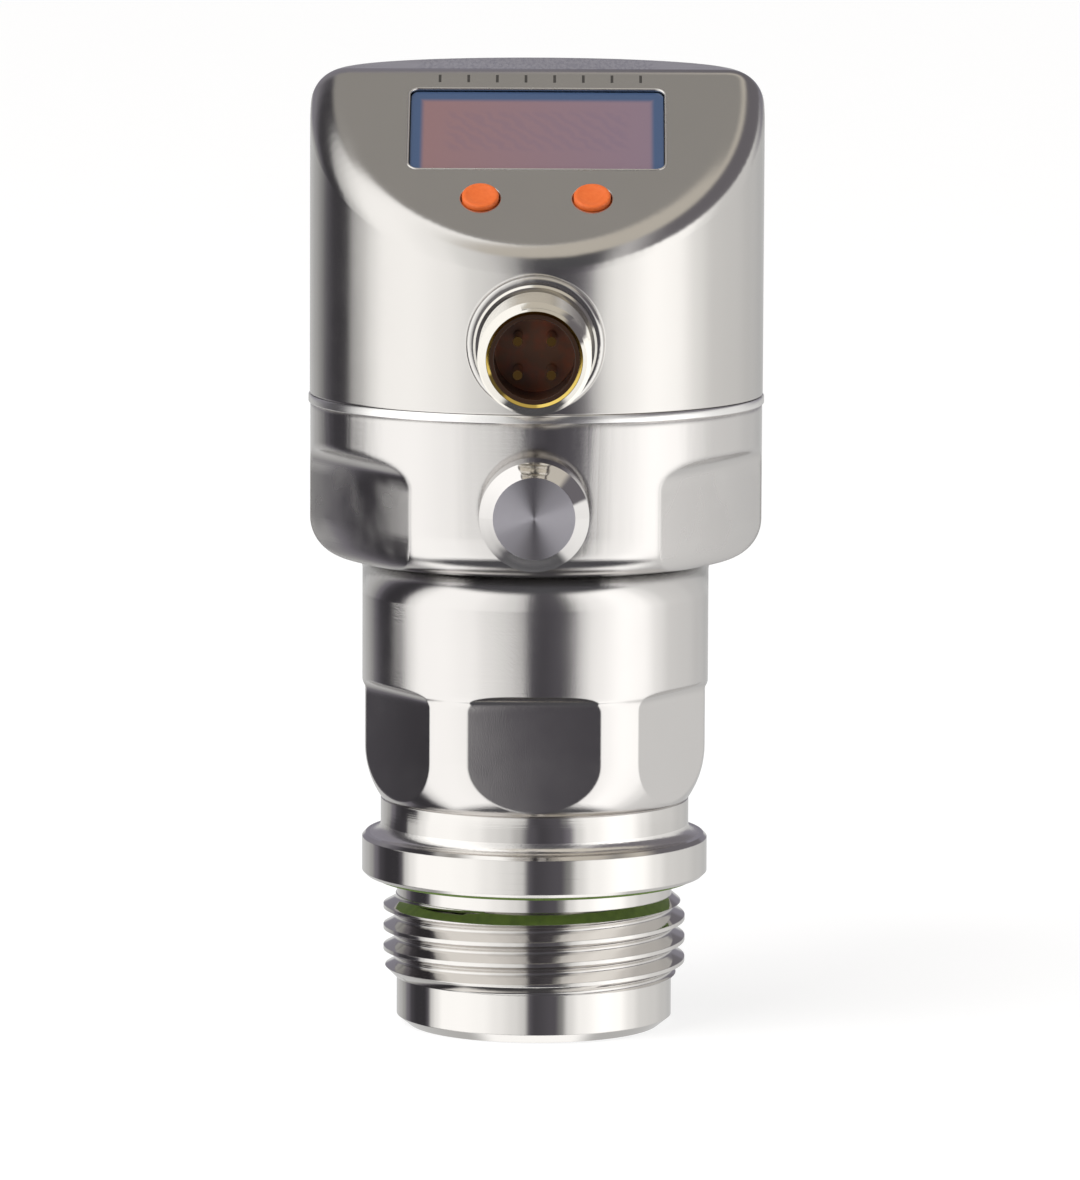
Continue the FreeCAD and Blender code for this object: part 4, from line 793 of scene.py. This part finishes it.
button_profile = [
    (0, STEM_END), (STEM_RADIUS, STEM_END), (STEM_RADIUS, COLLAR_BACK),
    (COLLAR_WIDE, COLLAR_BACK), (COLLAR_WIDE, COLLAR_FACE), (BUTTON_RADIUS, COLLAR_FACE),
    *[(BUTTON_RADIUS - inward * MM, BUTTON_PROUD - down * MM) for inward, down in DISH],
    (0, BUTTON_PROUD - DISH_DEPTH),
]
for side_sign, body in ((-1, "button_left"), (1, "button_right")):
    seat = CREST + DOWN * BUTTON_PLACE + Vector((side_sign * BUTTON_PITCH / 2, 0, 0))
    button = turned(body + "_cap", button_profile, centre=seat, axis=OUT, steps=72)
    smooth(button, 40)
    button.data.materials.append(orange_rubber)
    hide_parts(body)
    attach(button, body)


# Connector shell. The M12 plug shell, turned from brass and nickel plated, pressed in the
# housing's boss. The bare brass shows at the machined mouth of the socket.
CONNECTOR_HEIGHT = 77.5 * MM
SHELL_BACK = 21.0 * MM
SHELL_NECK = 6.4 * MM
BOSS_FRONT = 26.2 * MM
SHOULDER_RADIUS = 6.6 * MM
SHOULDER_FRONT = 28.4 * MM
M12_CREST = 6.0 * MM
M12_ROOT = 5.4 * MM
M12_PITCH = 1.0 * MM
M12_END = 42.5 * MM
SOCKET_RADIUS = 4.75 * MM
MOUTH_BEVEL = 0.3 * MM
THREAD_RELIEF = 0.9 * MM
THREAD_LEAD_IN = 0.5 * MM
FRONT_CHAMFER = 0.8 * MM
SHOULDER_BREAK = 0.25 * MM
M12_FIRST_TURN = 0.6 * MM


def lay_forward(piece, height):
    """Turns a piece made about Z so that its axis points to -Y at this height."""
    take(piece)
    bpy.ops.object.mode_set(mode="EDIT")
    bpy.ops.mesh.select_all(action="SELECT")
    bpy.ops.transform.rotate(value=-math.pi / 2, orient_axis="X", center_override=(0, 0, 0))
    bpy.ops.transform.translate(value=(0, 0, height))
    bpy.ops.object.mode_set(mode="OBJECT")


shell = turned("plug_shell", [
    (SOCKET_RADIUS, SHELL_BACK),
    (SHELL_NECK, SHELL_BACK),
    (SHELL_NECK, BOSS_FRONT),
    (SHOULDER_RADIUS, BOSS_FRONT),
    (SHOULDER_RADIUS, SHOULDER_FRONT - SHOULDER_BREAK),
    (SHOULDER_RADIUS - SHOULDER_BREAK, SHOULDER_FRONT),
    (M12_ROOT, SHOULDER_FRONT),
    (M12_ROOT, SHOULDER_FRONT + THREAD_RELIEF),
    (M12_CREST, SHOULDER_FRONT + THREAD_RELIEF + THREAD_LEAD_IN),
    (M12_CREST, M12_END - FRONT_CHAMFER),
    (SOCKET_RADIUS + MOUTH_BEVEL + 0.05 * MM, M12_END),
    (SOCKET_RADIUS + MOUTH_BEVEL, M12_END),
    (SOCKET_RADIUS, M12_END - MOUTH_BEVEL),
], steps=128)
cut(shell, thread_tool("plug_thread_cutter", M12_CREST, M12_ROOT, M12_PITCH, turns=14,
                       start=SHOULDER_FRONT + M12_FIRST_TURN, angle=60.0))
lay_forward(shell, CONNECTOR_HEIGHT)
smooth(shell)

# Bright nickel: warmer than the steel beside it, and nearly a mirror.
shell_nickel = clouded("nickel-plated brass", "D8D4CC", 300.0, 2.0, 0.08, 0.15, metallic=1.0)

# Bare brass at the mouth, where the plating is turned away: a thin gold-coloured rim.
bare_brass = clouded("bare turned brass", "CDB25E", 500.0, 2.0, 0.05, 0.1, metallic=1.0)

shell.data.materials.append(shell_nickel)
shell.data.materials.append(bare_brass)
paint(shell, 1, lambda middle:
      math.hypot(middle.x, middle.z - CONNECTOR_HEIGHT) < SOCKET_RADIUS + MOUTH_BEVEL + 0.1 * MM
      and middle.y < -M12_END + MOUTH_BEVEL + 0.02 * MM)
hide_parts("m12_shell")
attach(shell, "head")


# Connector insert and pins. A glass-filled nylon insert holds four gold-plated pins. It is dark
# brown, with a smooth moulded skin inside the socket.
INSERT_FLOOR = 33.5 * MM

# Moulded nylon: dark brown walls, darkened as painted shade, and a floor painted glowing reddish in
# clouds, as painted light and painted glints of the gold pins.
insert_brown_painted_light, tree, shader = new_material("dark brown moulded nylon with painted shade and glow")
where = add_node(tree, "ShaderNodeTexCoord")
painted_glint_clouds = add_node(tree, "ShaderNodeTexNoise", inputs={
    "Vector": where.outputs["Object"], "Scale": 420.0, "Detail": 2.0})
shade = add_node(tree, "ShaderNodeValToRGB", inputs={"Fac": painted_glint_clouds.outputs["Fac"]})
shade.color_ramp.elements[0].position = 0.42
shade.color_ramp.elements[0].color = colour("A06C4A")
shade.color_ramp.elements[1].position = 0.68
shade.color_ramp.elements[1].color = colour("C26A40")
parts = add_node(tree, "ShaderNodeSeparateXYZ", inputs={"Vector": where.outputs["Object"]})
deep = add_node(tree, "ShaderNodeMapRange", inputs={
    "Value": parts.outputs["Y"], "From Min": -INSERT_FLOOR - 0.6 * MM,
    "From Max": -INSERT_FLOOR - 0.1 * MM})
# Painted shade and light: the walls take the dark colour, and the floor takes the bright reddish
# clouds.
painted_wall_shade_floor_glow = add_node(tree, "ShaderNodeMix", settings={"data_type": "RGBA"}, inputs={
    "Factor": deep.outputs["Result"]})
painted_wall_shade_floor_glow.inputs["A"].default_value = colour("382417")
tree.links.new(shade.outputs["Color"], painted_wall_shade_floor_glow.inputs["B"])
soft_edge = add_node(tree, "ShaderNodeBevel", settings={"samples": 4}, inputs={
    "Radius": 0.15 * MM})
tree.links.new(painted_wall_shade_floor_glow.outputs["Result"], shader.inputs["Base Color"])
shader.inputs["Roughness"].default_value = 0.2
tree.links.new(soft_edge.outputs["Normal"], shader.inputs["Normal"])
dress("m12_insert", insert_brown_painted_light)

# Gold plate over bronze, its colour darkened as painted shade for the dim socket: deep yellow
# points of light at the bottom of the socket.
pin_gold_painted_shade = clouded("gold-plated bronze", "B08A48", 900.0, 2.0, 0.04, 0.09, metallic=1.0)
dress("contact_pins", pin_gold_painted_shade)


# Floor. A plain sheet of white card that the part stands on. It is no piece of the object and
# only takes the part's shadow.
let_go()
bpy.ops.mesh.primitive_plane_add(size=6.0, location=(0, 0, 0))
floor = bpy.context.object
floor.name = "floor"

# Card: white and matt. The camera sees it a little lighter, and the part's shadow stays.
paper, tree, shader = new_material("matt white card")
where = add_node(tree, "ShaderNodeTexCoord")
tooth = add_node(tree, "ShaderNodeTexNoise", inputs={
    "Vector": where.outputs["Object"], "Scale": 60.0, "Detail": 4.0})
shade = add_node(tree, "ShaderNodeValToRGB", inputs={"Fac": tooth.outputs["Fac"]})
shade.color_ramp.elements[0].color = colour("F6F6F6")
shade.color_ramp.elements[1].color = colour("FBFBFB")
tree.links.new(shade.outputs["Color"], shader.inputs["Base Color"])
shader.inputs["Roughness"].default_value = 0.9
shader.inputs["Specular IOR Level"].default_value = 0.0
rays = add_node(tree, "ShaderNodeLightPath")
seen = add_node(tree, "ShaderNodeMath", settings={"operation": "MULTIPLY"}, inputs={
    0: rays.outputs["Is Camera Ray"], 1: 0.62})
white = add_node(tree, "ShaderNodeEmission", inputs={"Color": (1, 1, 1, 1), "Strength": 1.25})
both = add_node(tree, "ShaderNodeMixShader", inputs={0: seen.outputs[0]})
tree.links.new(shader.outputs[0], both.inputs[1])
tree.links.new(white.outputs[0], both.inputs[2])
tree.links.new(both.outputs[0], tree.nodes["Material Output"].inputs["Surface"])
floor.data.materials.append(paper)
floor.visible_glossy = False


# Studio light. What the steel mirrors: tall soft boxes left and right, a dark gap where the
# camera stands and one far left, and floor and ceiling laid over them. The camera itself
# sees white behind the part.
studio = bpy.data.worlds.new("studio")
bpy.context.scene.world = studio
studio.use_nodes = True
tree = studio.node_tree
tree.nodes.clear()
where = add_node(tree, "ShaderNodeTexCoord")
look = add_node(tree, "ShaderNodeSeparateXYZ", inputs={"Vector": where.outputs["Generated"]})
front = add_node(tree, "ShaderNodeMath", settings={"operation": "MULTIPLY"}, inputs={
    0: look.outputs["Y"], 1: -1.0})
bearing = add_node(tree, "ShaderNodeMath", settings={"operation": "ARCTAN2"}, inputs={
    0: look.outputs["X"], 1: front.outputs[0]})
round_view = add_node(tree, "ShaderNodeMapRange", inputs={
    "Value": bearing.outputs[0], "From Min": -math.pi, "From Max": math.pi})
# Bearing in degrees from the camera's side, and brightness there. The second row is what
# the parts below the cup see, a little nearer to the floor.
UPPER_BANDS = [
    (-180, 0.70), (-165, 0.60), (-150, 0.48), (-142, 0.33), (-134, 0.13), (-126, 0.06),
    (-118, 0.055), (-112, 0.07), (-107, 0.64), (-100, 0.84), (-93, 1.15), (-84, 1.42),
    (-66, 1.44), (-44, 1.28), (-32, 1.02), (-20, 0.88), (-12, 0.62), (-3, 0.13), (6, 0.08),
    (20, 0.12), (26, 0.22), (33, 0.95), (42, 1.32), (62, 1.62), (76, 1.55), (90, 1.12),
    (102, 0.88), (120, 0.83), (140, 0.70), (160, 0.56), (175, 0.62),
]
LOWER_BANDS = [
    (-180, 0.70), (-160, 0.62), (-148, 0.56), (-140, 0.44), (-132, 0.22), (-124, 0.08),
    (-116, 0.05), (-104, 0.05), (-100, 0.12), (-95, 0.86), (-90, 1.16), (-82, 1.45),
    (-62, 1.46), (-44, 1.40), (-30, 1.22), (-16, 1.02), (-8, 0.84), (-3, 0.13), (1, 0.085),
    (18, 0.12), (23, 0.30), (30, 1.00), (40, 1.34), (62, 1.62), (76, 1.55), (90, 1.18),
    (102, 0.93), (120, 0.86), (140, 0.72), (160, 0.60), (175, 0.62),
]


def ring_of_light(bands):
    """A colour ramp round the horizon, with its dark parts slightly violet."""
    made = add_node(tree, "ShaderNodeValToRGB", inputs={"Fac": round_view.outputs["Result"]})
    ramp = made.color_ramp
    ramp.interpolation = "EASE"
    while len(ramp.elements) > 1:
        ramp.elements.remove(ramp.elements[-1])
    for place, (angle, level) in enumerate(bands):
        at = (angle + 180) / 360
        stop = ramp.elements[0] if place == 0 else ramp.elements.new(at)
        stop.position = at
        cool = 1.0 if level < 0.3 else 0.0
        stop.color = (level, level * (1 - 0.05 * cool), level * (1 + 0.09 * cool), 1)
    return made.outputs["Color"]


height = add_node(tree, "ShaderNodeMath", settings={"operation": "ARCSINE"}, inputs={
    0: look.outputs["Z"]})


def lay_over(under, top, edges):
    """Lays a plain tone, or another ring of light, over what is there, within soft edges.

    Each edge is an angle, with the degrees where it starts and where it is full.
    """
    inside = 1.0
    for angle, start, full in edges:
        rise = add_node(tree, "ShaderNodeMapRange", settings={
            "interpolation_type": "SMOOTHSTEP"}, inputs={
            "Value": angle, "From Min": math.radians(start), "From Max": math.radians(full)})
        within = add_node(tree, "ShaderNodeMath", settings={"operation": "MULTIPLY"}, inputs={
            0: inside, 1: rise.outputs["Result"]})
        inside = within.outputs[0]
    laid = add_node(tree, "ShaderNodeMix", settings={"data_type": "RGBA"}, inputs={
        "Factor": inside, "A": under, "B": top})
    return laid.outputs["Result"]


# Laid over the ring of light, from the floor up: a dark floor, white from the part's foot
# backwards; grey far behind; a dark wall over the camera; grey high on the right; a warm
# panel overhead in front; and the grey ceiling behind it, which the sloped face mirrors.
DARK = (0.10, 0.10, 0.11, 1)
WHITE_FLOOR = (1.4, 1.4, 1.4, 1)
GREY_BEHIND = (0.27, 0.26, 0.30, 1)
GREY_RIGHT = (0.19, 0.18, 0.20, 1)
WARM_PANEL = (0.70, 0.66, 0.59, 1)
CEILING = (0.37, 0.357, 0.34, 1)
up = height.outputs[0]
east = bearing.outputs[0]
over = add_node(tree, "ShaderNodeMath", settings={"operation": "ARCTAN2"}, inputs={
    0: look.outputs["Z"], 1: front.outputs[0]}).outputs[0]
turned_away = add_node(tree, "ShaderNodeMath", settings={"operation": "ABSOLUTE"}, inputs={
    0: east}).outputs[0]
shown = lay_over(ring_of_light(LOWER_BANDS), DARK, [(up, -52, -62)])
shown = lay_over(shown, WHITE_FLOOR, [(up, -52, -62), (over, -97, -100)])
shown = lay_over(shown, ring_of_light(UPPER_BANDS), [(up, -7.35, -7.1)])
shown = lay_over(shown, GREY_BEHIND, [(turned_away, 125, 150), (up, -2, 5)])
shown = lay_over(shown, DARK, [(east, -10, 4), (east, 40, 26), (up, 8, 14)])
shown = lay_over(shown, GREY_RIGHT, [(east, 20, 60), (up, 11, 16)])
shown = lay_over(shown, WARM_PANEL, [(east, -50, -15), (up, 42, 52)])
shown = lay_over(shown, CEILING, [(up, 50, 62), (over, 88, 97)])
rays = add_node(tree, "ShaderNodeLightPath")
seen = add_node(tree, "ShaderNodeMath", settings={"operation": "MAXIMUM"}, inputs={
    0: rays.outputs["Is Camera Ray"], 1: rays.outputs["Is Transmission Ray"]})
dim = add_node(tree, "ShaderNodeBackground", inputs={"Strength": 1.0})
tree.links.new(shown, dim.inputs["Color"])
white = add_node(tree, "ShaderNodeBackground", inputs={"Color": (1, 1, 1, 1), "Strength": 1.0})
both = add_node(tree, "ShaderNodeMixShader", inputs={0: seen.outputs[0]})
tree.links.new(dim.outputs[0], both.inputs[1])
tree.links.new(white.outputs[0], both.inputs[2])
out = add_node(tree, "ShaderNodeOutputWorld")
tree.links.new(both.outputs[0], out.inputs["Surface"])

bpy.ops.object.light_add(type="AREA", location=(-0.5, -0.6, 1.0))
key = bpy.context.object
key.name = "soft_box_over_left"
key.data.shape = "RECTANGLE"
key.data.size = 0.6
key.data.size_y = 0.6
key.data.energy = 6.0
key.rotation_euler = (Vector((0, 0, 0.05)) - key.location).to_track_quat("-Z", "Y").to_euler()
key.visible_glossy = False


# Camera. A long lens nearly a metre away, a little above the part, as in the photograph. It is
# rolled a little, since the photograph leans by about 0.2 degrees.
AIM = Vector((0.5 * MM, 0, 48 * MM))
FROM = Vector((4.7 * MM, -943 * MM, 165 * MM))
ROLL = math.radians(0.25)
LENS = 263.9
bpy.ops.object.camera_add(location=FROM)
camera = bpy.context.object
camera.name = "camera"
camera.rotation_euler = (AIM - FROM).to_track_quat("-Z", "Y").to_euler()
camera.rotation_euler.rotate_axis("Z", ROLL)
camera.data.lens = LENS
camera.data.sensor_width = 36.0
camera.data.clip_start = 0.05
bpy.context.scene.camera = camera
bpy.context.scene.view_settings.view_transform = "Standard"
